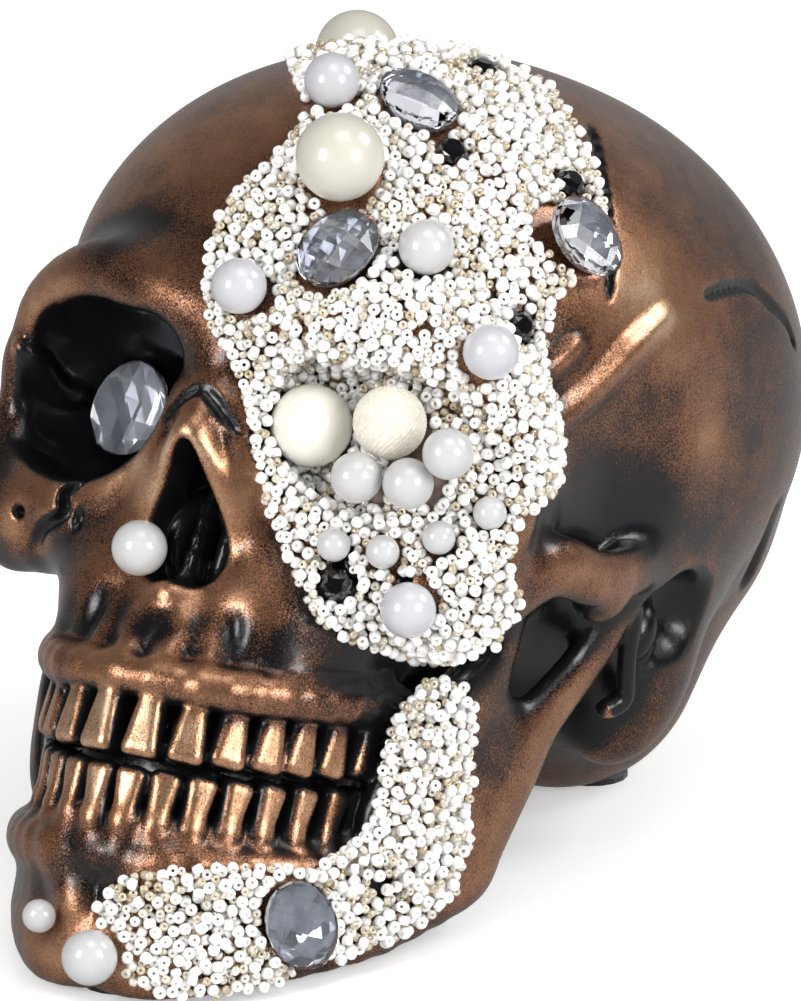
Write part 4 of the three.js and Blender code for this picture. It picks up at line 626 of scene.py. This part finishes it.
def bead_material(name, colours, look):
    """Seed bead glass: each bead keeps its own tone."""
    material, paint = new_material(name)
    stops = list(zip(np.linspace(0, 1, len(colours)), colours))
    tint = paint.ramp(paint.attribute("tone"), stops)
    paint.look({"Base Color": tint, "Coat Roughness": 0.05, **look})
    return material


def clouded_material(name, noise, stops, look, relief=0):
    """A noise that runs between two tints, and that may raise the surface too."""
    material, paint = new_material(name)
    clouds = paint.noise(*noise)
    paint.look({"Base Color": paint.ramp(clouds, stops), **look})
    if relief:
        paint.look({"Normal": paint.bump(clouds, relief)})
    return material


def hazy_glass(name, scale, haze, look):
    """Glass or glaze with a faint haze on its gloss."""
    material, paint = new_material(name)
    rough = paint.math("MULTIPLY", paint.noise(scale, 2.0), haze)
    paint.look({"Roughness": rough, **look})
    return material


COPPER = copper_on_black()
# Each pearl's body tint, then the darker tint of its rim, which is painted shade
PEARL_TINTS = {
    "cream": ((0.58, 0.56, 0.49), (0.44, 0.41, 0.33)),
    # A brighter copy of the cream, painted light for the large eye pearl that sits in the socket's
    # shade
    "cream_painted_lit": ((0.80, 0.78, 0.70), (0.66, 0.63, 0.55)),
    "white": ((0.54, 0.54, 0.55), (0.40, 0.39, 0.38)),
    "lavender": ((0.53, 0.53, 0.555), (0.40, 0.39, 0.42)),
}
PEARLS = {name: pearl_material(name, *tints) for name, tints in PEARL_TINTS.items()}
BEADS = [
    bead_material("bead_white", [(0.90, 0.89, 0.86), (0.96, 0.95, 0.94)],
                  {"Roughness": 0.3, "Metallic": 0.0, "Coat Weight": 0.6}),
    bead_material("bead_champagne", [(0.62, 0.50, 0.34), (0.84, 0.76, 0.62), (0.95, 0.92, 0.86)],
                  {"Roughness": 0.13, "Metallic": 0.45, "Coat Weight": 1.0}),
]
GLASS = hazy_glass("stone_glass", 500, 0.03, {
    "Base Color": (0.93, 0.95, 1.0, 1), "Transmission Weight": 1.0, "IOR": 1.52})
BLACK = hazy_glass("black_glass", 900, 0.08, {
    "Base Color": (0.004, 0.004, 0.005, 1), "Coat Weight": 1.0, "Coat Roughness": 0.02})
FOIL = clouded_material(
    "stone_foil", (300,), [(0.3, (0.30, 0.31, 0.34)), (0.7, (0.52, 0.53, 0.57))],
    {"Metallic": 0.8, "Roughness": 0.12})
# A paler, less metallic copy of the foil, painted light for the stone set in the dark eye socket
PAINTED_LIT_FOIL = clouded_material(
    "stone_foil_painted_lit", (300,), [(0.3, (0.70, 0.71, 0.74)), (0.7, (0.90, 0.91, 0.93))],
    {"Metallic": 0.3, "Roughness": 0.12})
SUGAR = clouded_material(
    "sugar_ball", (1500,), [(0.3, (0.66, 0.60, 0.47)), (0.62, (0.78, 0.755, 0.68))],
    {"Roughness": 0.6, "Subsurface Weight": 0.15, "Subsurface Radius": SUGAR_DEPTHS})
FELT = clouded_material(
    "felt", (2400, 5.0, 0.7), [(0.3, (0.004, 0.004, 0.005)), (0.7, (0.03, 0.03, 0.034))],
    {"Roughness": 0.95, "Sheen Weight": 0.4}, relief=0.8)
GLUE = clouded_material(
    "glue", (220, 4.0), [(0.35, (0.05, 0.035, 0.028)), (0.7, (0.24, 0.17, 0.13))],
    {"Roughness": 0.28, "Coat Weight": 0.6})


# The skull: the brush leaves cut hollows black and lays more or less copper near some places, partly
# as painted highlight and shade
CUT_FADE_SHARE = 0.012
CUT_INSET_SHARE = 0.042
WIDE_BLEND_SHARE = 0.06
TOOTH_BRUSH_SHARE = 0.016
TOOTH_BRUSH = 0.12
# How far to look for what stands out or lies low, and what each look counts
LOOK_SHARES = ((0.014, 0.35), (0.04, 0.4), (0.11, 0.25))
DEEP_SHARE = 0.2
FLAT_RIDGE, RIDGE_GAIN = 0.04, 1.3
MOST_HOLLOW = 1.2
FLAT_DEEP, DEEP_GAIN = 0.25, 0.5
# Places with more or less copper, each a middle, a reach and a weight: partly heavier or lighter
# brushing, partly painted highlight where the lights catch the skull and painted shade where it turns
# from them, as behind the jaw and underneath
BRUSH_AND_PAINTED_LIGHT_SHARES = (
    ((0.615, -0.416, 0.584), 0.13, 0.45),
    ((0.678, -0.122, 0.332), 0.1, 0.3),
    ((0.662, -0.21, 0.553), 0.14, 0.2),
    ((0.587, -0.337, 0.196), 0.1, -0.2),
    ((0.629, -0.165, 0.157), 0.085, -0.45),
    ((0.687, 0.087, 0.434), 0.15, -0.15),
    ((0.344, -0.897, 0.43), 0.1, -0.35),
    ((0.202, -0.813, 0.704), 0.2, 0.12),
    ((0.498, -0.325, -0.364), 0.1, -0.3),
    ((0.276, 0.362, -0.287), 0.16, -0.15),
    ((0.41, -0.85, 0.33), 0.08, 0.2),
    ((0.42, -0.72, -0.19), 0.09, 0.15),
    ((0.329, -0.828, -0.186), 0.06, -0.3),
    ((0.014, -0.952, -0.343), 0.028, -0.6),
    ((0.086, -0.927, -0.311), 0.028, -0.35),
    ((0.166, -0.897, -0.322), 0.03, -0.5),
    ((0.25, -0.865, -0.32), 0.035, -0.35),
    ((0.34, -0.74, -0.36), 0.05, -0.3),
    ((0.058, -0.935, -0.274), 0.04, 0.3),
    ((0.13, -0.909, -0.019), 0.05, 0.25),
    ((0.027, -0.95, -0.82), 0.08, -0.4),
    ((0.076, -0.894, -1.005), 0.12, 0.25),
)


def build_casting():
    values = np.concatenate([field.values[:0:-1], field.values])
    low = np.array([-field.axes[0][-1], *BOX_SHARES[0][1:]])
    places, quads = largest_body(*surface_nets(values, low, field.cell))
    outward = slope_of(field.at, places, field.cell)
    rest = to_rest(places)
    rest[:, 2] = np.maximum(rest[:, 2], PAD_HEIGHT)
    obj = mesh_object("skull", rest, quads, [COPPER])
    ridge = np.zeros(len(places))
    hollow = np.zeros(len(places))
    for reach, weight in LOOK_SHARES:
        within = (field.at(places - outward * reach) + reach) / reach
        beyond = (reach - field.at(places + outward * reach)) / reach
        ridge += weight * np.clip(within - FLAT_RIDGE, 0, 1)
        hollow += weight * np.clip(beyond, 0, MOST_HOLLOW)
    beyond = (DEEP_SHARE - field.at(places + outward * DEEP_SHARE)) / DEEP_SHARE
    hollow += DEEP_GAIN * np.clip(beyond - FLAT_DEEP, 0, 1)
    x, y, z = np.abs(places[:, 0]), places[:, 1], places[:, 2]
    unbrushed = np.zeros(len(places))
    brush_and_painted_light = np.zeros(len(places))
    for form_low, form_high, distance, blend, cut in FORMS:
        girth = min(b - a for a, b in zip(form_low, form_high)) / 2
        if cut and blend < WIDE_BLEND_SHARE and girth > blend:
            near = (2 * blend - CUT_INSET_SHARE - distance(x, y, z)) / CUT_FADE_SHARE
            unbrushed = np.maximum(unbrushed, np.clip(near, 0, 1))
        elif blend == TOOTH_SHARES["blend"]:
            near = (TOOTH_BRUSH_SHARE - distance(x, y, z)) / CUT_FADE_SHARE
            brush_and_painted_light = np.maximum(brush_and_painted_light, TOOTH_BRUSH * np.clip(near, 0, 1))
    # Listed places add copper as painted highlight or take it away as painted shade, as well as
    # heavier or lighter brushing
    for at, reach, weight in BRUSH_AND_PAINTED_LIGHT_SHARES:
        away = (x - at[0]) ** 2 + (y - at[1]) ** 2 + (z - at[2]) ** 2
        brush_and_painted_light += weight * np.exp(-away / (reach * reach))
    add_attribute(obj.data, "ridge", np.clip(ridge * RIDGE_GAIN, 0, 1))
    add_attribute(obj.data, "hollow", np.clip(np.maximum(hollow, unbrushed), 0, 1))
    add_attribute(obj.data, "brush_and_painted_light", brush_and_painted_light)
    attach(obj, "root")
    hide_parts("skull_casting")


build_casting()

# Pearls
PEARL_COLOURS = {
    # The large eye pearl takes the brighter cream, which is painted light
    "pearl_eye_large": "cream_painted_lit",
    "pearl_forehead_large": "cream",
    "pearl_crown_large": "cream",
    "pearl_temple": "lavender",
    "pearl_cheek_large": "lavender",
    "pearl_crown_small": "lavender",
    "pearl_brow_inner": "lavender",
}
PEARL_RINGS, PEARL_SIDES = 36, 56
DRILL_SHARE = 0.085  # of a pearl's radius
# The drill hole's wall, in shares of its own radius and of the pearl's
BORE_SHARES = ((0.8, 0.6), (0.85, 0.97))
RANDOM = np.random.default_rng(20261)


def way_from(azimuth, elevation):
    """The way to what stands at an azimuth and an elevation."""
    level = math.cos(elevation)
    return math.sin(azimuth) * level, -math.cos(azimuth) * level, math.sin(elevation)


VIEW_BACK = way_from(VIEW_AZIMUTH, VIEW_ELEVATION)


def turned_to(direction):
    return Vector(direction).to_track_quat("Z", "Y").to_matrix()


def ring_mesh(rings, sides, closed=True):
    """Rings about Z, each (radius, height) and maybe how far its corners are turned on."""
    places, faces = [], []
    for radius, height, *turned in rings:
        for i in range(sides):
            angle = 2 * math.pi * (i + sum(turned)) / sides
            places.append((radius * math.cos(angle), radius * math.sin(angle), height))
    for ring, (lower, upper) in enumerate(zip(rings, rings[1:])):
        for i in range(sides):
            a, b = ring * sides + i, ring * sides + (i + 1) % sides
            c, d = a + sides, b + sides
            if upper[2:] == lower[2:]:
                faces.append((a, b, d, c))
            elif upper[2:] > lower[2:]:
                faces += [(a, b, c), (b, d, c)]
            else:
                faces += [(a, b, d), (a, d, c)]
    if closed:
        last = (len(rings) - 1) * sides
        faces.append(tuple(range(sides))[::-1])
        faces.append(tuple(range(last, last + sides)))
    return np.array(places), faces


def build_pearl(name):
    low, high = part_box(name)
    centre = (low + high) / 2
    radius = max(high - low) / 2
    hole = DRILL_SHARE * radius
    arc = np.linspace(-math.pi / 2 + DRILL_SHARE, math.pi / 2 - DRILL_SHARE, PEARL_RINGS)
    bore = [(hole * wide, -radius * deep) for wide, deep in BORE_SHARES]
    profile = bore + [(math.cos(a) * radius, math.sin(a) * radius) for a in arc]
    profile += [(wide, -height) for wide, height in bore[::-1]]
    places, faces = ring_mesh(profile, PEARL_SIDES)
    turn = np.array(turned_to(np.cross(VIEW_BACK, RANDOM.normal(size=3))))
    colour = PEARL_COLOURS.get(name, "white")
    obj = mesh_object(name + "_ball", places @ turn.T + np.array(centre), faces, [PEARLS[colour]])
    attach(obj, "root")
    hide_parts(name)
    return centre, radius


balls = [build_pearl(name) for name in sorted(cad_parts) if name.startswith("pearl_")]

# The sugar ball's grains: their number, each one's half width in radians and how far they stand out
GRAINS = 900
GRAIN_HALF = 0.062
GRAIN_SHARE = 0.045


def build_sugar_ball():
    """A ball of rows of small grains."""
    low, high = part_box("sugar_ball_eye")
    centre = np.array((low + high) / 2)
    radius = max(high - low) / 2
    shape = bmesh.new()
    bmesh.ops.create_icosphere(shape, subdivisions=6, radius=1.0)
    shape.verts.index_update()
    places = np.array([v.co for v in shape.verts])
    faces = [[v.index for v in face.verts] for face in shape.faces]
    shape.free()
    up = 1 - (2 * np.arange(GRAINS) + 1) / GRAINS
    angle = np.arange(GRAINS) * math.pi * (3 - math.sqrt(5))
    across = np.sqrt(1 - up * up)
    ways = np.stack([across * np.cos(angle), across * np.sin(angle), up], 1)
    nearest = np.concatenate([(part @ ways.T).max(1) for part in np.array_split(places, 40)])
    gap = np.arccos(np.clip(nearest, -1, 1)) / GRAIN_HALF
    height = np.sqrt(np.clip(1 - gap * gap, 0, 1))
    scaled = places * (radius * (1 - GRAIN_SHARE + GRAIN_SHARE * height))[:, None] + centre
    obj = mesh_object("sugar_ball", scaled, faces, [SUGAR])
    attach(obj, "root")
    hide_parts("sugar_ball_eye")
    balls.append((Vector(centre), radius))


build_sugar_ball()

# Cut stones. Heights are shares of a stone's thickness, and widths of its own width and length
DIAGONAL_STONES = ("rhinestone_crown", "rhinestone_jaw")
CROWN_ROWS = 5
CROWN_SHARES = {"height": 0.64, "fall": 0.78, "foot": 0.36, "girdle": 0.34, "back": 0.9}
CROWN_ROUNDNESS = 1.3
FOIL_SHARES = {"width": 0.88, "height": 0.32}
FOIL_RELIEF_SHARES = (0.2, 0.95)
BLACK_SIDES = 8
# Each ring of a black stone: its width, its height and how far its corners are turned on
BLACK_RING_SHARES = ((0.86, 0, 0), (1, 0.2, 0), (1, 0.34, 0), (0.78, 0.74, 0.5), (0.5, 1, 0))


def stone_frame(name):
    """Middle, way out and half sizes of a stone's CAD solid: its back is its largest flat face."""
    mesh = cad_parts[name].data
    areas = {}
    for face in mesh.polygons:
        key = tuple(round(v, 2) for v in face.normal)
        areas[key] = areas.get(key, 0) + face.area
    back = Vector(max(areas, key=areas.get)).normalized()
    out = -np.array(back)
    places = np.array([v.co for v in mesh.vertices])
    middle = (places.min(0) + places.max(0)) / 2
    heights = (places - middle) @ out
    flat = places - middle - heights[:, None] * out
    flat -= flat.mean(0)
    _, _, axes = np.linalg.svd(flat, full_matrices=False)
    along, across = axes[0], np.cross(out, axes[0])
    middle = places.mean(0)
    half = (np.abs((places - middle) @ along).max(), np.abs((places - middle) @ across).max())
    heights = (places - middle) @ out
    foot = middle + out * heights.min()
    return foot, out, along, across, half, heights.max() - heights.min()


def stone_object(name, places, faces, material, spot):
    """Flat faces laid in a stone's own frame, all turned outward."""
    foot, out, along, across, half, _ = spot
    places = (foot + places[:, :1] * half[0] * along + places[:, 1:2] * half[1] * across
              + places[:, 2:] * out)
    obj = mesh_object(name, places, faces, [material], smooth=False)
    shape = bmesh.new()
    shape.from_mesh(obj.data)
    bmesh.ops.recalc_face_normals(shape, faces=shape.faces)
    shape.to_mesh(obj.data)
    shape.free()
    obj.data.update()
    return obj


def checkerboard_crown(depth, turn):
    """A domed crown cut in a grid of flat squares inside a round girdle."""
    places, faces = [], []
    cos, sin = math.cos(turn), math.sin(turn)
    for u, v in product(np.linspace(-1, 1, CROWN_ROWS + 1), repeat=2):
        x, y = u * math.sqrt(max(0, 1 - v * v / 2)), v * math.sqrt(max(0, 1 - u * u / 2))
        fall = CROWN_SHARES["fall"] * (x * x + y * y) ** CROWN_ROUNDNESS
        places.append((x * cos - y * sin, x * sin + y * cos, depth * (1 - fall)))
    step = CROWN_ROWS + 1
    for i, j in product(range(CROWN_ROWS), repeat=2):
        start = i * step + j
        faces.append((start, start + step, start + step + 1, start + 1))
    return np.array(places), faces


def crown_rim():
    """Corners round the edge of the crown's grid, in turn."""
    rows, step = CROWN_ROWS, CROWN_ROWS + 1
    rim = [i * step for i in range(rows)] + [rows * step + j for j in range(rows)]
    rim += [(rows - i) * step + rows for i in range(rows)]
    return rim + [rows - j for j in range(rows)]


def faceted_foil(height, turn):
    """A thin silvered back whose squares lean each their own way."""
    front, faces = checkerboard_crown(0, turn)
    places = front * [FOIL_SHARES["width"], FOIL_SHARES["width"], 0]
    places[:, 2] = height * RANDOM.uniform(*FOIL_RELIEF_SHARES, len(places))
    base = len(places)
    rim = crown_rim()
    for start, end in zip(rim, rim[1:] + rim[:1]):
        faces.append((start, end, base + end, base + start))
    faces.append([base + i for i in rim])
    return np.concatenate([places, places * [1, 1, 0]]), faces


def build_clear_stone(name):
    spot = stone_frame(name)
    thickness = spot[5]
    shares = CROWN_SHARES
    foil_height = thickness * FOIL_SHARES["height"]
    turn = math.pi / 4 if name in DIAGONAL_STONES else 0
    crown, faces = checkerboard_crown(thickness * shares["height"], turn)
    crown[:, 2] += thickness * shares["foot"]
    rim = crown_rim()
    edge = crown[rim] * [1, 1, 0]
    girdle = edge + [0, 0, thickness * shares["girdle"]]
    back = edge * shares["back"] + [0, 0, foil_height]
    base, count = len(crown), len(rim)
    for i in range(count):
        j = (i + 1) % count
        faces.append((rim[j], rim[i], base + i, base + j))
        faces.append((base + j, base + i, base + count + i, base + count + j))
    faces.append(tuple(base + count + i for i in range(count)))
    obj = stone_object(name + "_glass", np.concatenate([crown, girdle, back]), faces, GLASS, spot)
    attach(obj, "root")
    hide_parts(name)
    # The socket stone takes the paler foil, which is painted light
    silver = PAINTED_LIT_FOIL if name == "rhinestone_socket" else FOIL
    foil = stone_object(name + "_foil", *faceted_foil(foil_height, turn), silver, spot)
    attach(foil, "root")
    return spot


def build_black_stone(name):
    spot = stone_frame(name)
    rings = [(share, spot[5] * height, offset) for share, height, offset in BLACK_RING_SHARES]
    obj = stone_object(name + "_cut", *ring_mesh(rings, BLACK_SIDES), BLACK, spot)
    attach(obj, "root")
    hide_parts(name)
    return spot


stones = []
for node_name in sorted(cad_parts):
    if node_name.startswith("rhinestone_"):
        stones.append(build_clear_stone(node_name))
    elif node_name.startswith("black_stone_"):
        stones.append(build_black_stone(node_name))

# Seed beads: white and champagne ones, with sizes in shares of their width
WHITE, CHAMPAGNE = 0, 1
BEAD_LENGTH_SHARES = (0.74, 0.72)
BEAD_HOLE_SHARE = 0.14  # radius of the hole
BEAD_END_SHARE = 0.28  # how much a bead narrows towards its ends
BEAD_WALL_SHARE = 0.8  # of its half length, where the wall of the hole ends
BEAD_SIDES, BEAD_RINGS = 12, 5
SPACING_SHARE = 1.05
SAMPLES_PER_BEAD = 14
# Room round a pearl and a stone, in shares of a bead's radius
PEARL_ROOM_SHARE = 0.9
STONE_ROOM_SHARE = 0.8
# Layers: kind, share that is kept, height in radii, nearness to the next bead and whether it is one
# of the loose layers on top
MOST_IN_LAYER = 4000
BEAD_LAYER_SHARES = (
    (WHITE, 0.12, 0.85, 0.92, False),
    (CHAMPAGNE, 0.75, 1.15, 0.92, False),
    (WHITE, 1.0, 0.85, 0.88, False),
    (CHAMPAGNE, 1.0, 0.95, 0.86, False),
    (WHITE, 0.6, 2.2, 0.9, True),
    (CHAMPAGNE, 0.6, 2.6, 0.9, True),
)
# How far beads lean, and how many lean that far
LEANS = ([0.25, 0.9, 3.0], [0.35, 0.3, 0.35])
SIZE_SPREAD = 0.035
# Places where the glue has caught no beads, and how far they reach
BARE_SHARES = (
    ((0.397, -0.515, -0.713), 0.042),
    ((0.239, -0.966, 0.331), 0.02),
    ((0.42, -0.907, 0.348), 0.02),
)
# White and champagne beads lie in drifts: waves over the head's shares, in radians to a share
CLUSTER_WAVES = ((23, 11, 4), (-9, 17, 21), (5, -26, 13))
CLUSTER_CONTRAST = 0.16
# The glue bed of the beaded socket, as in the solids: middle, radii and turn
BED_SHARES = ((0.33, -0.68, 0.12), (0.23, 0.13, 0.19), -12)
BASE_REACH_SHARE = 0.012


def bead_shape(width, length):
    """A short tube with rounded ends and a hole."""
    outer, half = width / 2, length / 2
    hole = width * BEAD_HOLE_SHARE
    profile = [(hole, -half * BEAD_WALL_SHARE)]
    for angle in np.linspace(-math.pi / 2, math.pi / 2, BEAD_RINGS):
        wide = 1 - BEAD_END_SHARE + BEAD_END_SHARE * math.cos(angle)
        profile.append((outer * wide, half * math.sin(angle)))
    profile.append((hole, half * BEAD_WALL_SHARE))
    places, faces = ring_mesh(profile, BEAD_SIDES, closed=False)
    last = (len(profile) - 1) * BEAD_SIDES
    for i in range(BEAD_SIDES):
        j = (i + 1) % BEAD_SIDES
        faces.append((last + i, last + j, j, i))
    return places, np.array(faces)


def crust_samples(node_name, spacing):
    """Spots all over a crust's solid."""
    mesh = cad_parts[node_name].data
    mesh.calc_loop_triangles()
    corners = np.array([v.co for v in mesh.vertices])
    triangles = np.array([t.vertices for t in mesh.loop_triangles])
    a, b, c = corners[triangles[:, 0]], corners[triangles[:, 1]], corners[triangles[:, 2]]
    area = np.linalg.norm(np.cross(b - a, c - a), axis=1) / 2
    count = int(area.sum() / spacing ** 2 * SAMPLES_PER_BEAD)
    pick = RANDOM.choice(len(area), count, p=area / area.sum())
    u, v = RANDOM.random((2, count))
    flip = u + v > 1
    u[flip], v[flip] = 1 - u[flip], 1 - v[flip]
    return a[pick] + u[:, None] * (b - a)[pick] + v[:, None] * (c - a)[pick]


def base_distance(shares):
    """Distance to what carries the beads: the casting and the glue bed."""
    bed = ball_form(*BED_SHARES)[2]
    return np.minimum(field.at(shares), bed(shares[:, 0], shares[:, 1], shares[:, 2]))


class Spacing:
    """Which beads are already near a spot."""

    def __init__(self, step):
        self.step = step
        self.cells = {}

    def cell(self, spot):
        return tuple(int(math.floor(v / self.step)) for v in spot)

    def clear(self, spot, radius, overlap):
        base = self.cell(spot)
        for i, j, k in product((-1, 0, 1), repeat=3):
            for other, size in self.cells.get((base[0] + i, base[1] + j, base[2] + k), ()):
                gap = (radius + size) * overlap
                dx, dy, dz = spot[0] - other[0], spot[1] - other[1], spot[2] - other[2]
                if dx * dx + dy * dy + dz * dz < gap * gap:
                    return False
        return True

    def add(self, spot, radius):
        self.cells.setdefault(self.cell(spot), []).append((tuple(spot), radius))


def clear_of_glued(spots, radius):
    """Spots whose bead would not run deep into a pearl or a stone."""
    good = np.ones(len(spots), bool)
    for centre, size in balls:
        away = np.linalg.norm(spots - np.array(centre), axis=1)
        good &= away > size + radius * PEARL_ROOM_SHARE
    room = radius * STONE_ROOM_SHARE
    for foot, out, along, across, half, thickness in stones:
        away = spots - foot
        flat = np.hypot((away @ along) / (half[0] + room), (away @ across) / (half[1] + room))
        rise = away @ out
        good &= (flat > 1) | (rise < -STONE_REACH) | (rise > thickness + STONE_REACH)
    return good


def scatter(node_name, loose):
    """Choose bead places in turn, each clear enough of the ones before it."""
    spacing_of = Spacing(BEAD_WIDTHS[WHITE] * SPACING_SHARE)
    chosen = []
    for kind, share, lift, overlap, on_top in BEAD_LAYER_SHARES:
        radius = BEAD_WIDTHS[kind] / 2
        shares = to_head(crust_samples(node_name, radius * 2))
        out = slope_of(base_distance, shares, BASE_REACH_SHARE)
        lift_share = (radius * lift) / HEAD_UNIT
        shares = shares + out * (lift_share - base_distance(shares))[:, None]
        spots = to_rest(shares)
        lean = np.sin(shares @ np.array(CLUSTER_WAVES).T).sum(1) * (1 if kind else -1)
        chance = share if share == 1 else share * np.clip(0.5 + CLUSTER_CONTRAST * lean, 0, 1)
        good = clear_of_glued(spots, radius) & (RANDOM.random(len(spots)) < chance)
        for at, reach in BARE_SHARES:
            good &= np.linalg.norm(shares - np.array(at), axis=1) > reach
        room = loose if on_top else MOST_IN_LAYER
        for spot, way in zip(spots[good], (out @ PITCH.T)[good]):
            if not room:
                break
            if spacing_of.clear(spot, radius, overlap):
                spacing_of.add(spot, radius)
                chosen.append((spot, way, kind))
                room -= 1
    return chosen


def build_beads(node_name, name, loose):
    shapes = [bead_shape(w, w * share) for w, share in zip(BEAD_WIDTHS, BEAD_LENGTH_SHARES)]
    places, faces, kinds, tones = [], [], [], []
    start = 0
    for spot, way, kind in scatter(node_name, loose):
        shape, shape_faces = shapes[kind]
        tilt = RANDOM.normal(size=3) * RANDOM.choice(LEANS[0], p=LEANS[1])
        turn = np.array(turned_to(way + tilt))
        size = RANDOM.normal(1.0, SIZE_SPREAD)
        places.append((shape * size) @ turn.T + spot)
        faces.append(shape_faces + start)
        kinds.append(np.full(len(shape_faces), kind))
        tones.append(np.full(len(shape), RANDOM.random()))
        start += len(shape)
    obj = mesh_object(name, np.concatenate(places), np.concatenate(faces), BEADS)
    obj.data.polygons.foreach_set("material_index", np.concatenate(kinds).astype(np.int32))
    add_attribute(obj.data, "tone", np.concatenate(tones))
    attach(obj, "root")
    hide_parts(node_name)


build_beads("bead_crust_face", "seed_beads_face", loose=650)
build_beads("bead_crust_jaw", "seed_beads_jaw", loose=240)

# Solids that show as they are
PLAIN_NODES = {
    "felt_pad_chin": FELT,
    "felt_pad_left": FELT,
    "felt_pad_right": FELT,
    "socket_glue_bed": GLUE,
}
for node_name, material in PLAIN_NODES.items():
    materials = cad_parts[node_name].data.materials
    materials.clear()
    materials.append(material)


# Camera, floor and light
def stand(obj, place, back):
    """Put a camera or a light at a place, with its back to a direction."""
    obj.rotation_mode = "QUATERNION"
    obj.location = place
    obj.rotation_quaternion = back.to_track_quat("Z", "Y")
    bpy.context.scene.collection.objects.link(obj)


def build_camera():
    back = Vector(VIEW_BACK)
    right = Vector((math.cos(VIEW_AZIMUTH), math.sin(VIEW_AZIMUTH), 0))
    middle = Vector(SHIFT.tolist())
    middle += right * ((PHOTO_SIZE[0] / 2 - EAR_PIXELS[0]) / PIXELS_PER_METRE)
    middle -= back.cross(right) * ((PHOTO_SIZE[1] / 2 - EAR_PIXELS[1]) / PIXELS_PER_METRE)
    data = bpy.data.cameras.new("camera")
    data.sensor_width = SENSOR_MM
    data.lens = SENSOR_MM * PIXELS_PER_METRE * CAMERA_DISTANCE / PHOTO_SIZE[1]
    data.clip_end = FARTHEST_SEEN
    camera = bpy.data.objects.new("camera", data)
    stand(camera, middle + back * CAMERA_DISTANCE, back)
    bpy.context.scene.camera = camera


# How bright the floor is of itself, in gloss and through glass, and how much less it is lit in gloss
FLOOR_GLOW, FLOOR_IN_GLOSS, FLOOR_IN_GLASS = 0.4, 0.2, 0.4
FLOOR_TONE, FLOOR_GLOSS_TONE = 0.8, -0.5
# The room's light by direction, from the back to the front: slope, middle and least
ROOM_IN_GLOSS = (-0.3, 0.06, 0.04)
ROOM_IN_GLASS = (-1.1, 0.35, 0.15)
ROOM_FILL = 0.54


def build_floor():
    places = [(x * FLOOR_HALF, y * FLOOR_HALF, 0) for x, y in ((-1, -1), (1, -1), (1, 1), (-1, 1))]
    material, paint = new_material("floor")
    seen = paint.node("LightPath", {})
    glossy = seen["Is Glossy Ray"]
    paint.look({
        "Roughness": 0.9,
        "Base Color": paint.math("MULTIPLY_ADD", glossy, FLOOR_GLOSS_TONE, FLOOR_TONE),
    })
    mirrored = paint.math("MULTIPLY", glossy, FLOOR_IN_GLOSS)
    through = paint.math("MULTIPLY", seen["Is Transmission Ray"], FLOOR_IN_GLASS)
    reach = paint.math("MAXIMUM", seen["Is Camera Ray"], mirrored)
    reach = paint.math("MAXIMUM", reach, through)
    strength = paint.math("MULTIPLY", reach, FLOOR_GLOW)
    glow = paint.node("Emission", {"Color": (1, 1, 1, 1), "Strength": strength})["Emission"]
    total = paint.node("AddShader", {0: paint.shader.outputs["BSDF"], 1: glow})["Shader"]
    paint.put(paint.nodes["Material Output"].inputs, {"Surface": total})
    mesh_object("floor", places, [(0, 1, 2, 3)], [material], smooth=False)


def build_world():
    """The backdrop stands behind the skull, so its front mirrors a dimmer room."""
    world = bpy.data.worlds.new("world")
    bpy.context.scene.world = world
    room = Shading(world, "Background")
    seen = room.node("LightPath", {})
    glossy, through = seen["Is Glossy Ray"], seen["Is Transmission Ray"]
    place = room.node("TexCoord", {})["Generated"]
    way = room.node("VectorMath", {0: place, 1: VIEW_BACK}, operation="DOT_PRODUCT")["Value"]

    def light(ray, slope, middle, least):
        glow = room.math("MULTIPLY_ADD", way, slope, middle, clamp=True)
        return room.math("MULTIPLY", ray, room.math("MAXIMUM", glow, least))

    sharp = room.math("MAXIMUM", glossy, through)
    strength = room.math("MULTIPLY_ADD", sharp, -ROOM_FILL, ROOM_FILL)
    for part in (seen["Is Camera Ray"], light(through, *ROOM_IN_GLASS), light(glossy, *ROOM_IN_GLOSS)):
        strength = room.math("MAXIMUM", strength, part)
    room.look({"Color": (1, 1, 1, 1), "Strength": strength})


def add_softbox(name, azimuth, elevation, distance, size, power, mirrored):
    back = Vector(way_from(VIEW_AZIMUTH + math.radians(azimuth), math.radians(elevation)))
    data = bpy.data.lights.new(name, "AREA")
    data.shape = "RECTANGLE"
    data.size, data.size_y = size
    data.energy = power
    light = bpy.data.objects.new(name, data)
    light.visible_glossy = mirrored
    stand(light, Vector(LIGHT_AIM) + back * distance, back)


build_camera()
build_floor()
build_world()
for name, settings in SOFTBOXES.items():
    add_softbox(name, *settings)
bpy.context.scene.view_settings.view_transform = "Standard"
